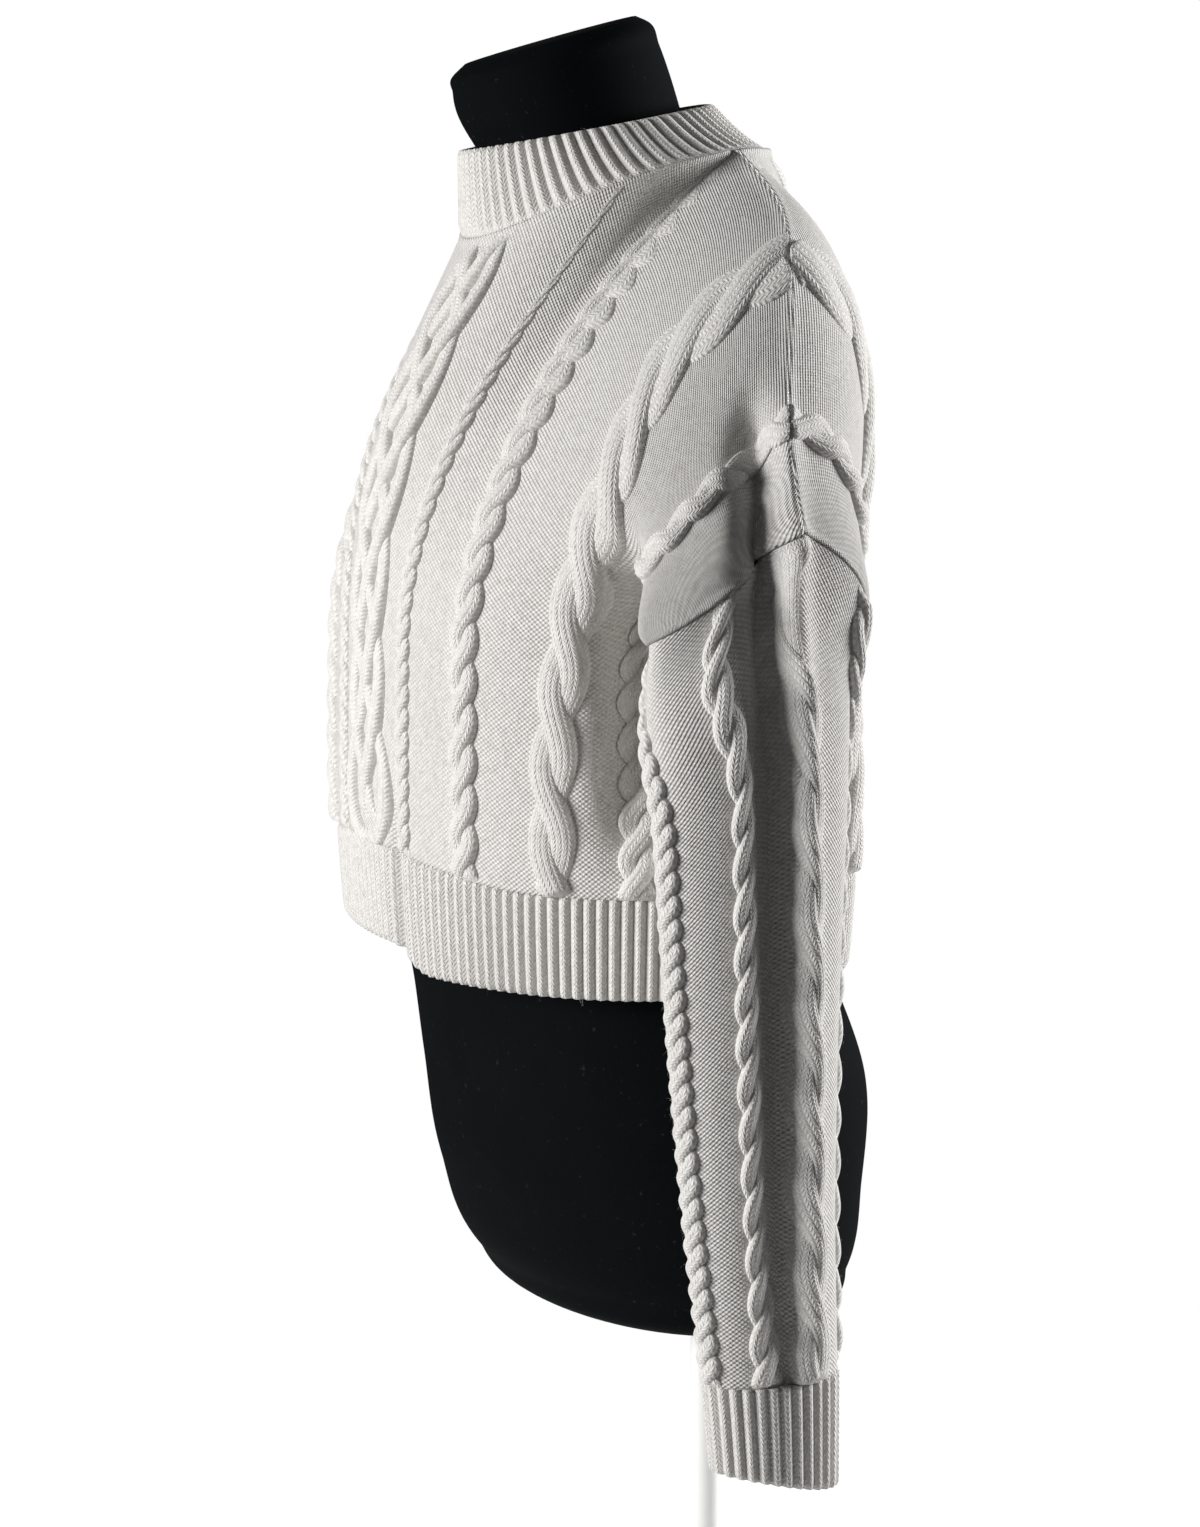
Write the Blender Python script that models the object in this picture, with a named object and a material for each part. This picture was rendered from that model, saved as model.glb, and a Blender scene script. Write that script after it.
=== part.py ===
"""A cropped cable knit sweater on a limbless dress form with a pole and a round base.

Metres, +Z up. The front faces -Y and the wearer's left is +X. The origin is the middle of the
base's underside. Each knitted piece is a thin wall with raised cables or ribs outside and a
plain face inside.
"""

from collections import namedtuple

import bmesh
import bpy
import numpy as np

# The heights below are measured from garmentLift above the floor.
garmentLift = 0.035

# ---- cloth
clothThickness = 0.0024
ribThickness = 0.0030
seamGap = 0.00035               # open space between two pieces at a seam
shoulderGap = 0.0005            # more where a seam curves and is cut into straight runs

# ---- body of the sweater
bodyWidth = 0.570               # flat width of the front or the back panel
bodyLength = 0.400              # knitted length from the welt to the shoulder seam
armpitHeight = 0.600
armpitRow = 0.32                # share of the panel's length below the armpit
underarmFlare = 0.006           # how far the side turns out to meet the sleeve
hemHeight = 0.4165              # lower edge of the welt at the sides
hemFrontLift = 0.014            # how much higher it is at the centre front
hemBackDrop = 0.002
weltHeight = 0.058
bodyPower = 2.08                # roundness of the sections, 2 is an ellipse

torsoTable = (
    ("height", "halfWidth", "frontDepth", "backDepth", "centreY"),
    (0.400, 0.189, 0.150, 0.127, 0.005),
    (0.440, 0.194, 0.154, 0.130, 0.005),
    (0.500, 0.200, 0.157, 0.131, 0.005),
    (0.560, 0.199, 0.157, 0.130, 0.005),
    (0.610, 0.195, 0.156, 0.128, 0.005),
)

# ---- neckline and collar
neckHalfX, neckHalfY, neckCentreY = 0.087, 0.092, 0.010
neckHeight, neckTilt, neckSideRise = 0.862, 0.026, 0.015
neckSpacing = 1.35              # above 1 the rows of stitches crowd towards the shoulder seam
collarTopHalfX, collarTopHalfY, collarTopCentreY = 0.066, 0.075, -0.009
collarTopHeight, collarTopTilt = 0.9015, 0.0145
collarBulge = 0.7               # below 1 the collar stands up first and leans in above
seamTurn = np.radians(118)      # where the shoulder seam meets the neckline, from the front
neckShare = 0.4135              # share of half a panel's width that ends at the neckline

shoulderTable = (
    ("share", "x", "y", "z"),
    (0.14, 0.127, 0.053, 0.858),
    (0.29, 0.176, 0.037, 0.832),
    (0.62, 0.241, 0.005, 0.735),
    (1.00, 0.256, 0.004, 0.680),
)

# The pulls of the curves that carry a panel from the armpit level over the shoulder. Each
# curve leaves upwards beside the centre and out round the arm at the side.
archTable = {
    "front": {
        "reach": (0.130, 0.065),
        "leaveArm": (0.024, -0.108, 0.040),
        "toNeck": (0, 0.040, 0.070),
        "toSeam": (0, 0.072, 0.024),
        "toArm": (-0.002, 0.096, 0.094),
    },
    "back": {
        "reach": (0.100, 0.050),
        "leaveArm": (0.024, 0.068, -0.004),
        "toNeck": (0, -0.012, 0.085),
        "toSeam": (0, -0.062, 0.030),
        "toArm": (-0.002, -0.060, 0.036),
    },
}

# ---- sleeves
armMiddle = (0.227, -0.008, 0.640)
armholeGap = 0.0009
sleeveLength = 0.441            # knitted length from the armhole to the cuff
cuffTopHeight = 0.219
cuffLength = 0.050
cuffSlant = 0.016               # how much lower the back of the cuff's edge hangs
sleeveTurn = 0.080              # share of the girth that the pattern turns towards the back
sleeveTable = (
    ("height", "centreX", "centreY", "halfX", "halfY"),
    (0.150, 0.252, -0.002, 0.021, 0.0365),
    (0.219, 0.250, -0.005, 0.024, 0.0395),
    (0.300, 0.247, -0.010, 0.027, 0.0435),
    (0.400, 0.245, -0.014, 0.029, 0.0490),
    (0.540, 0.242, -0.016, 0.030, 0.0570),
    (0.680, 0.229, -0.016, 0.030, 0.0650),
)
rightSwing = 0.052              # how much further back the right cuff hangs than the left
swingTop, swingDrop = 0.66, 0.44

# ---- the long fold down each arm
foldFrontWidth, foldBackWidth = 0.014, 0.008
foldTable = (
    ("height", "y", "depth"),
    (0.219, -0.003, 0.003),
    (0.270, -0.004, 0.008),
    (0.405, -0.008, 0.012),
    (0.540, -0.011, 0.012),
    (0.660, -0.013, 0.011),
    (0.740, -0.012, 0.010),
    (0.800, -0.008, 0.005),
)

# ---- the hollow at each side under the arm, by share across and row up a panel
hollowShare, hollowWidth, hollowDepth = 0.80, 0.12, 0.009
hollowRows = (0.00, 0.18, 0.54, 0.66)            # it begins, is full, ends full, ends

# ---- cables: middle and swing across the cloth, width of a strand, length of one crossing,
# where the crossings start, and height. A crossing below zero twists the other way.
patternShift = 0.0125           # the middle of the cables is this far to the wearer's left
Cable = namedtuple("Cable", "centre swing strandWidth crossing shift height")
latticeCables = (
    Cable(0.000, 0.0180, 0.0115, 0.117, -0.29, 0.0044),
    Cable(0.000, 0.0180, 0.0115, 0.117, 0.21, 0.0044),
)
bodyCables = (
    Cable(0.0455, 0.0030, 0.0075, 0.0133, 0.00, 0.0032),
    Cable(0.1005, 0.0052, 0.0122, 0.0225, 0.00, 0.0048),
    Cable(0.1535, 0.0078, 0.0155, -0.0445, -0.275, 0.0058),
    Cable(0.2085, 0.0052, 0.0125, 0.0225, 0.00, 0.0048),
)
# on a sleeve the middles are shares of the girth, from the outer line
sleeveCables = (
    Cable(0.000, 0.0080, 0.0165, 0.050, 0.00, 0.0050),
    Cable(0.150, 0.0052, 0.0125, 0.0240, 0.00, 0.0042),
    Cable(0.320, 0.0032, 0.0085, 0.0127, 0.00, 0.0032),
)
underStrand, overStrand = 0.48, 1.00             # heights of a strand that dips and one on top

# ---- where the points stand across a panel and round a sleeve
latticeColumns = (0.0, 0.006, 0.012, 0.018, 0.0245)
plainColumns = (0.032, 0.070, 0.249, bodyWidth/2)
sleeveCableReach = (0.076, 0.044, 0.025)         # half of each cable, as shares of the girth
sleevePlainColumns = (0.25, 0.42)
panelRows, sleeveRows = 40, 33

# ---- ribs
bodyRibs, collarRibs, cuffRibs = 70, 52, 28      # on one panel, round the neck, round the cuff
ribHeight = 0.0016
cuffRibHeight = 0.0013

# ---- dress form and its stand
formTable = (
    ("height", "halfX", "frontDepth", "backDepth", "centreY"),
    (0.192, 0.110, 0.070, 0.074, 0.046),
    (0.199, 0.132, 0.090, 0.092, 0.044),
    (0.222, 0.151, 0.110, 0.107, 0.040),
    (0.275, 0.167, 0.126, 0.118, 0.035),
    (0.340, 0.174, 0.132, 0.122, 0.031),
    (0.385, 0.172, 0.131, 0.112, 0.024),
    (0.415, 0.168, 0.130, 0.103, 0.018),
    (0.480, 0.142, 0.112, 0.094, 0.010),
    (0.540, 0.134, 0.108, 0.090, 0.004),
    (0.610, 0.152, 0.130, 0.098, 0.004),
    (0.670, 0.166, 0.130, 0.102, 0.006),
    (0.730, 0.176, 0.104, 0.096, 0.012),
    (0.780, 0.178, 0.074, 0.074, 0.024),
    (0.808, 0.160, 0.056, 0.056, 0.032),
    (0.826, 0.124, 0.050, 0.050, 0.032),
    (0.843, 0.082, 0.052, 0.054, 0.022),
    (0.868, 0.062, 0.060, 0.058, 0.002),
    (0.895, 0.060, 0.066, 0.062, -0.011),
    (0.935, 0.056, 0.062, 0.060, -0.027),
    (0.946, 0.053, 0.059, 0.057, -0.030),
    (0.951, 0.046, 0.051, 0.050, -0.031),
)
formTopSlant = 0.30             # rise of the neck's top for each metre towards the back
slantStart, slantEnd = 0.880, 0.955
formSides = 24
poleRadius, poleCentreY = 0.010, 0.073
baseRadius, baseThickness = 0.150, 0.012

colours = {
    "knit": ((0.70, 0.68, 0.65, 1.0), 0.95, 0.0),
    "form": ((0.012, 0.014, 0.016, 1.0), 0.70, 0.0),
    "stand": ((0.75, 0.75, 0.74, 1.0), 0.35, 0.0),
}


def readTable(value, table, name):
    """A smooth curve through one named column of a table, by the table's first column."""
    names, *rows = table
    rows = np.array(rows)
    place, height = rows[:, 0], rows[:, names.index(name)]
    slope = np.gradient(height, place)
    value = np.clip(value, place[0], place[-1])
    low = np.clip(np.searchsorted(place, value) - 1, 0, len(place) - 2)
    step = place[low + 1] - place[low]
    t = (value - place[low]) / step
    start = (2*t**3 - 3*t**2 + 1)*height[low] + (t**3 - 2*t**2 + t)*step*slope[low]
    end = (3*t**2 - 2*t**3)*height[low + 1] + (t**3 - t**2)*step*slope[low + 1]
    return start + end


def smoothStep(low, high, value):
    t = np.clip((value - low)/(high - low), 0, 1)
    return t*t*(3 - 2*t)


def quarterPoint(halfWidth, depth, share):
    """x and depth at a share of the length of a quarter super-ellipse, 0 on the centre line."""
    turn = np.linspace(0, np.pi/2, 90)
    x = halfWidth[..., None]*np.sin(turn)**(2/bodyPower)
    y = depth[..., None]*np.cos(turn)**(2/bodyPower)
    run = np.cumsum(np.hypot(np.diff(x), np.diff(y)), axis=-1)
    run = np.concatenate([np.zeros_like(run[..., :1]), run], axis=-1)
    across, forward = np.empty(halfWidth.shape), np.empty(halfWidth.shape)
    for place in np.ndindex(halfWidth.shape):
        length = share[place]*run[place][-1]
        across[place] = np.interp(length, run[place], x[place])
        forward[place] = np.interp(length, run[place], y[place])
    return across, forward


def neckPoint(turn):
    x = neckHalfX*np.sin(turn)
    y = neckCentreY - neckHalfY*np.cos(turn)
    height = neckHeight - neckTilt*np.cos(turn) + neckSideRise*np.sin(turn)**2
    return np.stack([x, y, height], axis=-1)


def torsoPoint(share, height, side):
    """A point below the armpit. side is -1 on the front panel and 1 on the back panel."""
    share, height = np.broadcast_arrays(np.asarray(share, float), np.asarray(height, float))
    depthName = "frontDepth" if side < 0 else "backDepth"
    x, depth = quarterPoint(readTable(height, torsoTable, "halfWidth"),
                            readTable(height, torsoTable, depthName), share)
    y = readTable(height, torsoTable, "centreY") + side*depth
    flare = smoothStep(armpitHeight - 0.020, armpitHeight, height)*smoothStep(0.86, 1.0, share)
    return np.stack([x + underarmFlare*flare, y, height], axis=-1)


def topEdge(share, side):
    """The neckline up to neckShare, and then the shoulder seam."""
    turn = 1 - (1 - np.clip(share/neckShare, 0, 1))**neckSpacing
    turn = turn*seamTurn if side < 0 else np.pi - turn*(np.pi - seamTurn)
    seamTable = (shoulderTable[0], (0.0, *neckPoint(seamTurn))) + shoulderTable[1:]
    along = np.clip((share - neckShare)/(1 - neckShare), 0, 1)
    seam = np.stack([readTable(along, seamTable, axis) for axis in "xyz"], axis=-1)
    return np.where((share < neckShare)[..., None], neckPoint(turn), seam)


def archPoint(share, rise, side):
    """A cubic curve from the armpit level (rise 0) to the top edge (rise 1)."""
    share, rise = np.broadcast_arrays(np.asarray(share, float), np.asarray(rise, float))
    start = torsoPoint(share, armpitHeight, side)
    end = topEdge(share, side)
    aroundArm = smoothStep(0.72, 1.0, share)[..., None]
    onShoulder = smoothStep(0.10, 0.55, share)[..., None]
    outside = smoothStep(0.50, 1.0, share)[..., None]
    pulls = archTable["front" if side < 0 else "back"]
    leaveArm, toNeck, toSeam, toArm = (np.array(pulls[name], float) for name in
                                       ("leaveArm", "toNeck", "toSeam", "toArm"))
    reach = pulls["reach"][0] - pulls["reach"][1]*share[..., None]
    leave = reach*(1 - aroundArm)*np.array([0, 0, 1.0]) + aroundArm*leaveArm
    arrive = toNeck*(1 - onShoulder) + onShoulder*(toSeam*(1 - outside) + toArm*outside)
    softEnd = np.zeros(share.shape + (3,))
    for step in (-0.10, -0.05, 0.0, 0.05, 0.10):
        near = topEdge(np.clip(np.abs(share + step), 0, 1), side)
        near[..., 0] *= np.where(share + step < 0, -1, 1)
        softEnd += near/5
    t = rise[..., None]
    return ((1 - t)**3*start + 3*(1 - t)**2*t*(start + leave)
            + 3*(1 - t)*t*t*(softEnd - arrive) + t**3*end)


def hemEdge(share, side):
    """Height of the welt's lower edge: raised at the centre front, low at the back."""
    if side < 0:
        return hemHeight + hemFrontLift*(1 - smoothStep(0.10, 0.30, share))
    return hemHeight - hemBackDrop*(1 - smoothStep(0.2, 1.0, share))


def weltSeam(share, side):
    """Height of the seam between the welt and its panel."""
    lift = hemFrontLift if side < 0 else -hemBackDrop
    reach = 0.6 if side < 0 else 1.0
    return hemHeight + weltHeight + lift*np.clip(1 - (share/reach)**2, 0, 1)**2


def bodyPoint(across, row, side):
    """A point of a panel: across from -1 to 1, row from 0 at the welt to 1 at the top edge."""
    across, row = np.broadcast_arrays(np.asarray(across, float), np.asarray(row, float))
    share = np.abs(across)
    low = weltSeam(share, side)
    height = low + (armpitHeight - low)*np.clip(row/armpitRow, 0, 1)
    torso = torsoPoint(share, height, side)
    arch = archPoint(share, np.clip((row - armpitRow)/(1 - armpitRow), 0, 1), side)
    point = np.where((row < armpitRow)[..., None], torso, arch)
    return point*np.stack([np.where(across < 0, -1.0, 1.0), np.ones_like(share),
                           np.ones_like(share)], axis=-1)


def armholePoint(share, armSide):
    """The armhole seam: 0 at the underarm, 0.5 at the shoulder seam, by the front."""
    rise = np.linspace(0, 1, 60)
    result = np.empty(share.shape + (3,))
    for side, part, length in ((-1, share <= 0.5, 2*share), (1, share > 0.5, 2 - 2*share)):
        curve = archPoint(np.ones_like(rise), rise, side)
        run = np.concatenate([[0], np.cumsum(np.linalg.norm(np.diff(curve, axis=0), axis=1))])
        for axis in range(3):
            values = np.interp(length*run[-1], run, curve[:, axis])
            result[..., axis] = np.where(part, values, result[..., axis])
    return result*np.array([armSide, 1, 1])


def ringShare(centreX, centreY, halfX, halfY, share):
    """A ring of an ellipse by shares of its girth: 0 at the body side, and on by the front."""
    turn = np.linspace(0, 2*np.pi, 181)
    x = centreX[..., None] - halfX[..., None]*np.cos(turn)
    y = centreY[..., None] - halfY[..., None]*np.sin(turn)
    run = np.cumsum(np.hypot(np.diff(x), np.diff(y)), axis=-1)
    run = np.concatenate([np.zeros_like(run[..., :1]), run], axis=-1)
    ringX, ringY = np.empty(share.shape), np.empty(share.shape)
    for place in np.ndindex(share.shape):
        length = (share[place] % 1.0)*run[place][-1]
        ringX[place] = np.interp(length, run[place], x[place])
        ringY[place] = np.interp(length, run[place], y[place])
    return ringX, ringY, run[..., -1]


def hangBack(height, armSide):
    """How far a sleeve has swung back at a height."""
    if armSide > 0:
        return 0.0
    return rightSwing*np.clip((swingTop - height)/swingDrop, 0, 1)**0.8


def sleevePoint(share, row, armSide):
    """A point of a sleeve, and the girth there. row is 0 at the armhole and 1 at the cuff."""
    share, row = np.broadcast_arrays(np.asarray(share, float), np.asarray(row, float))
    top = armholePoint(share, 1)
    height = top[..., 2]*(1 - row) + cuffTopHeight*row
    turned = share + sleeveTurn*smoothStep(0, 0.25, row)
    sizes = [readTable(height, sleeveTable, name) for name in sleeveTable[0][1:]]
    x, y, girth = ringShare(*sizes, turned)
    hang = smoothStep(0, 0.16, row)
    x = top[..., 0]*(1 - hang) + x*hang
    y = top[..., 1]*(1 - hang) + y*hang + hangBack(height, armSide)*hang
    return np.stack([x*armSide, y, height], axis=-1), girth


def cuffPoint(share, row, armSide):
    """A point of a cuff. row is 0 at the sleeve and 1 at the free edge."""
    share, row = np.broadcast_arrays(np.asarray(share, float), np.asarray(row, float))
    slant = 0.5 + 0.5*np.sin(2*np.pi*(share + sleeveTurn) + np.pi)
    height = cuffTopHeight - (cuffLength + cuffSlant*slant)*row
    sizes = [readTable(height, sleeveTable, name) for name in sleeveTable[0][1:]]
    x, y, girth = ringShare(*sizes, share + sleeveTurn)
    return np.stack([x*armSide, y + hangBack(height, armSide), height], axis=-1), girth


def collarPoint(share, row):
    """A point of the collar: share 0 at the centre front, row 0 at the neckline."""
    share, row = np.broadcast_arrays(np.asarray(share, float), np.asarray(row, float))
    turn = 2*np.pi*share
    low = neckPoint(turn)
    high = np.stack([collarTopHalfX*np.sin(turn),
                     collarTopCentreY - collarTopHalfY*np.cos(turn),
                     collarTopHeight - collarTopTilt*np.cos(turn)], axis=-1)
    lean = (row**collarBulge)[..., None]
    point = low*(1 - lean) + high*lean
    point[..., 2] = low[..., 2]*(1 - row) + high[..., 2]*row
    return point


def strandHeight(across, along, cable, hand):
    """Two round strands that swap places at each crossing, the rising one on top."""
    phase = np.pi*(along/cable.crossing + cable.shift)
    raised = np.zeros_like(across)
    for strand in (0, np.pi):
        middle = hand*cable.swing*np.cos(phase + strand)
        onTop = 0.5 - 0.5*np.sin(phase + strand)
        dome = np.sqrt(np.clip(1 - (2*(across - middle)/cable.strandWidth)**2, 0, 1))
        raised = np.maximum(raised, cable.height*dome*(underStrand*(1 - onTop)
                                                       + overStrand*onTop))
    return raised


def bodyRelief(across, row):
    """Height of the cables on a panel: a lattice in the middle, and pairs beside it."""
    flat = across*bodyWidth/2 - patternShift
    along = row*bodyLength
    raised = np.zeros_like(flat)
    for cable in latticeCables:
        raised = np.maximum(raised, strandHeight(flat, along, cable, 1))
    for cable in bodyCables:
        for hand in (-1, 1):
            raised = np.maximum(raised, strandHeight(flat - hand*cable.centre, along, cable, hand))
    return raised


def sleeveRelief(share, row, girth):
    """Height of the cables on a sleeve: one on the outer line, and pairs beside it."""
    raised = np.zeros_like(share)
    for cable in sleeveCables:
        for hand in ((1,) if cable.centre == 0 else (-1, 1)):
            across = (share - 0.5 - hand*cable.centre)*girth
            raised = np.maximum(raised, strandHeight(across, row*sleeveLength, cable, hand))
    return raised


def hangingFold(points):
    """Depth of the long fold down the outside of the arm, from the shoulder to the cuff."""
    out, height = np.abs(points[..., 0]), points[..., 2]
    y = points[..., 1] - np.where(points[..., 0] < 0, hangBack(height, -1), 0)
    depth = readTable(height, foldTable, "depth")*smoothStep(0.216, 0.240, out)
    beside = y - readTable(height, foldTable, "y")
    return depth*np.exp(-(beside/np.where(beside < 0, foldFrontWidth, foldBackWidth))**2)


def sideHollow(across, row):
    """How far a panel is pushed in at its sides below the arm."""
    start, full, endFull, end = hollowRows
    return (hollowDepth*np.exp(-((np.abs(across) - hollowShare)/hollowWidth)**2)
            * smoothStep(start, full, row)*(1 - smoothStep(endFull, end, row)))


def gridNormals(points, closed, flip):
    """Unit normals of a grid of points, smoothed a little. closed joins the last column."""
    if closed:
        alongRow = np.roll(points, -1, axis=1) - np.roll(points, 1, axis=1)
    else:
        alongRow = np.gradient(points, axis=1)
    normal = np.cross(alongRow, np.gradient(points, axis=0))*(-1 if flip else 1)
    normal /= np.maximum(np.linalg.norm(normal, axis=-1, keepdims=True), 1e-12)
    for _ in range(2):
        padded = np.pad(normal, ((1, 1), (0, 0), (0, 0)), mode="edge")
        normal = (padded[:-2] + 2*normal + padded[2:])/4
        normal /= np.maximum(np.linalg.norm(normal, axis=-1, keepdims=True), 1e-12)
    return normal


def armholeNormal(points):
    """Outward round the arm, and down at the underarm where the cloth turns over."""
    outward = points*[0, 1, 1] - np.array(armMiddle)
    outward[..., 0] += np.abs(points[..., 0])
    outward[..., 2] = -0.055*(1 - smoothStep(armpitHeight, armpitHeight + 0.012, points[..., 2]))
    outward[..., 0] *= np.sign(points[..., 0])
    return outward/np.linalg.norm(outward, axis=-1, keepdims=True)


def fan(fine, coarse):
    """Triangles between a fine edge and a coarse one, where coarse holds (place, vertex)."""
    triangles = []
    for (first, low), (last, high) in zip(coarse[:-1], coarse[1:]):
        middle = (first + last + 1)//2
        for place in range(first, last):
            near = low if place < middle else high
            triangles.append((fine[place], fine[place + 1], near))
        triangles.append((fine[middle], high, low))
    return triangles


def clothWall(name, outer, inner, rowPicks, columnPicks, closed, flip):
    """A closed wall: all outer points, the picked inner points and rims between them."""
    rows, columns = outer.shape[:2]
    picked = inner[np.ix_(rowPicks, columnPicks)]
    points = np.concatenate([outer.reshape(-1, 3), picked.reshape(-1, 3)])
    place = np.arange(rows*columns).reshape(rows, columns)
    innerPlace = rows*columns + np.arange(picked.shape[0]*picked.shape[1])
    innerPlace = innerPlace.reshape(picked.shape[:2])
    if closed:
        place = np.concatenate([place, place[:, :1]], axis=1)
        innerPlace = np.concatenate([innerPlace, innerPlace[:, :1]], axis=1)
        columnPicks = list(columnPicks) + [columns]
    faces = []
    for grid, turned in ((place, False), (innerPlace, True)):
        for r in range(grid.shape[0] - 1):
            for c in range(grid.shape[1] - 1):
                a, b, c2, d = grid[r, c], grid[r, c + 1], grid[r + 1, c + 1], grid[r + 1, c]
                faces.append((d, c2, b, a) if turned else (a, b, c2, d))
    rims = [(place[0], list(zip(columnPicks, innerPlace[0])), True),
            (place[-1], list(zip(columnPicks, innerPlace[-1])), False)]
    if not closed:
        rims.append((place[:, 0], list(zip(rowPicks, innerPlace[:, 0])), False))
        rims.append((place[:, -1], list(zip(rowPicks, innerPlace[:, -1])), True))
    for fine, coarse, turned in rims:
        for a, b, c in fan(fine, coarse):
            faces.append((c, b, a) if turned else (a, b, c))
    if flip:
        faces = [tuple(reversed(face)) for face in faces]
    return makeObject(name, points, faces, "knit")


def makeObject(name, points, faces, material):
    mesh = bpy.data.meshes.new(name)
    mesh.from_pydata([tuple(point) for point in points], [],
                     [tuple(int(i) for i in face) for face in faces])
    work = bmesh.new()
    work.from_mesh(mesh)
    bmesh.ops.triangulate(work, faces=work.faces[:])
    work.to_mesh(mesh)
    work.free()
    mesh.shade_smooth()
    mesh.set_sharp_from_angle(angle=np.radians(50))
    part = bpy.data.objects.new(name, mesh)
    part.location.z = 0.0 if material == "stand" else garmentLift
    bpy.context.collection.objects.link(part)
    mesh.materials.append(makeMaterial(material))
    return part


def makeMaterial(kind):
    material = bpy.data.materials.get(kind)
    if material:
        return material
    colour, roughness, metallic = colours[kind]
    material = bpy.data.materials.new(kind)
    material.use_nodes = True
    material.diffuse_color = colour
    shader = material.node_tree.nodes["Principled BSDF"]
    shader.inputs["Base Color"].default_value = colour
    shader.inputs["Roughness"].default_value = roughness
    shader.inputs["Metallic"].default_value = metallic
    return material


def mirroredPicks(count, step):
    """Every step-th column from both sides of a panel, with both edges."""
    half = [0] + list(range(step - 1, count//2, step))
    return half + [count - 1 - pick for pick in reversed(half)]


def spacedPicks(count, step):
    """Every step-th place, with the last one."""
    picks = list(range(0, count - 1, step))
    if count - 1 - picks[-1] < step/2 and len(picks) > 1:
        picks.pop()
    return picks + [count - 1]


def cableColumnPlaces():
    """Places across a panel, close together on the cables and far apart between them."""
    half = list(latticeColumns)
    for cable in bodyCables:
        reach = 1.04*(cable.swing + cable.strandWidth/2)
        half += [cable.centre + reach*part for part in columnParts(reach)]
    half = np.array(sorted(half + list(plainColumns)))/(bodyWidth/2)
    places = np.concatenate([-half[:0:-1], half])
    places[1:-1] += patternShift/(bodyWidth/2)
    return places


def columnParts(reach):
    """Where the columns of points stand on a cable, from its middle."""
    if reach < 0.010:
        return (-1, 0, 1)
    if reach < 0.016:
        return (-1, -0.4, 0.4, 1)
    return (-1, -0.6, -0.2, 0.2, 0.6, 1)


def bodyGrids():
    """Base points and normals of both panels, with one normal for both at each seam."""
    across = cableColumnPlaces()
    rows = np.arange(panelRows + 1)/panelRows
    endGap = seamGap/2/(bodyWidth/2)
    across[0], across[-1] = -1 + endGap, 1 - endGap
    grids = {}
    for side in (-1, 1):
        u, v = np.meshgrid(across, rows)
        v = v.copy()
        v[0] = 0.0
        v[-1] = 1 - shoulderGap/2/bodyLength
        points = bodyPoint(u, v, side)
        grids[side] = [u, v, points, gridNormals(points, False, side > 0)]
    front, back = grids[-1][3], grids[1][3]
    for edge in (0, -1):
        shared = front[:, edge] + back[:, edge]
        shared /= np.linalg.norm(shared, axis=-1, keepdims=True)
        belowArm = rows < armpitRow - 0.001
        for side in (-1, 1):
            normals, points = grids[side][3], grids[side][2]
            normals[:, edge] = np.where(belowArm[:, None], shared, armholeNormal(points[:, edge]))
    seam = np.abs(across) > neckShare
    shared = front[-1] + back[-1]
    shared /= np.linalg.norm(shared, axis=-1, keepdims=True)
    front[-1, seam] = shared[seam]
    back[-1, seam] = shared[seam]
    for normals in (front, back):
        normals[-1, ~seam, 2] += 0.8
        normals[-1] /= np.linalg.norm(normals[-1], axis=-1, keepdims=True)
    return grids


def buildBody():
    grids = bodyGrids()
    for side, name in ((-1, "front_panel"), (1, "back_panel")):
        u, v, points, normals = grids[side]
        fade = np.ones_like(u)
        fade[0], fade[-1], fade[:, 0], fade[:, -1] = 0, 0, 0, 0
        sunk = points - normals*(hangingFold(points) + fade*sideHollow(u, v))[..., None]
        outer = sunk + normals*(fade*bodyRelief(u, v))[..., None]
        inner = sunk - normals*clothThickness
        armRow = round(armpitRow*panelRows)
        rowPicks = list(range(0, armRow, 4)) + list(range(armRow, panelRows + 1, 2))
        if rowPicks[-1] != panelRows:
            rowPicks.append(panelRows)
        clothWall(name, outer, inner, rowPicks, mirroredPicks(u.shape[1], 3), False, side > 0)


def buildWelts():
    count = 2*bodyRibs
    across = np.linspace(-1, 1, count + 1)
    endGap = seamGap/2/(bodyWidth/2)
    across[0], across[-1] = -1 + endGap, 1 - endGap
    for side, name in ((-1, "front_hem_rib"), (1, "back_hem_rib")):
        u, v = np.meshgrid(across, np.array([0.0, 1.0]))
        low, high = hemEdge(np.abs(u), side), weltSeam(np.abs(u), side) - seamGap
        height = low*(1 - v) + high*v
        points = torsoPoint(np.abs(u), height, side)
        points[..., 0] *= np.where(u < 0, -1, 1)
        normals = gridNormals(points, False, side > 0)
        normals[..., 2] = 0
        normals /= np.linalg.norm(normals, axis=-1, keepdims=True)
        normals[:, 0] = (-1, 0, 0)
        normals[:, -1] = (1, 0, 0)
        ridge = np.where(np.arange(count + 1) % 2 == 1, ribHeight, 0.0)
        outer = points + normals*ridge[None, :, None]
        inner = points - normals*ribThickness
        clothWall(name, outer, inner, [0, 1], spacedPicks(count + 1, 6), False, side > 0)


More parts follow.
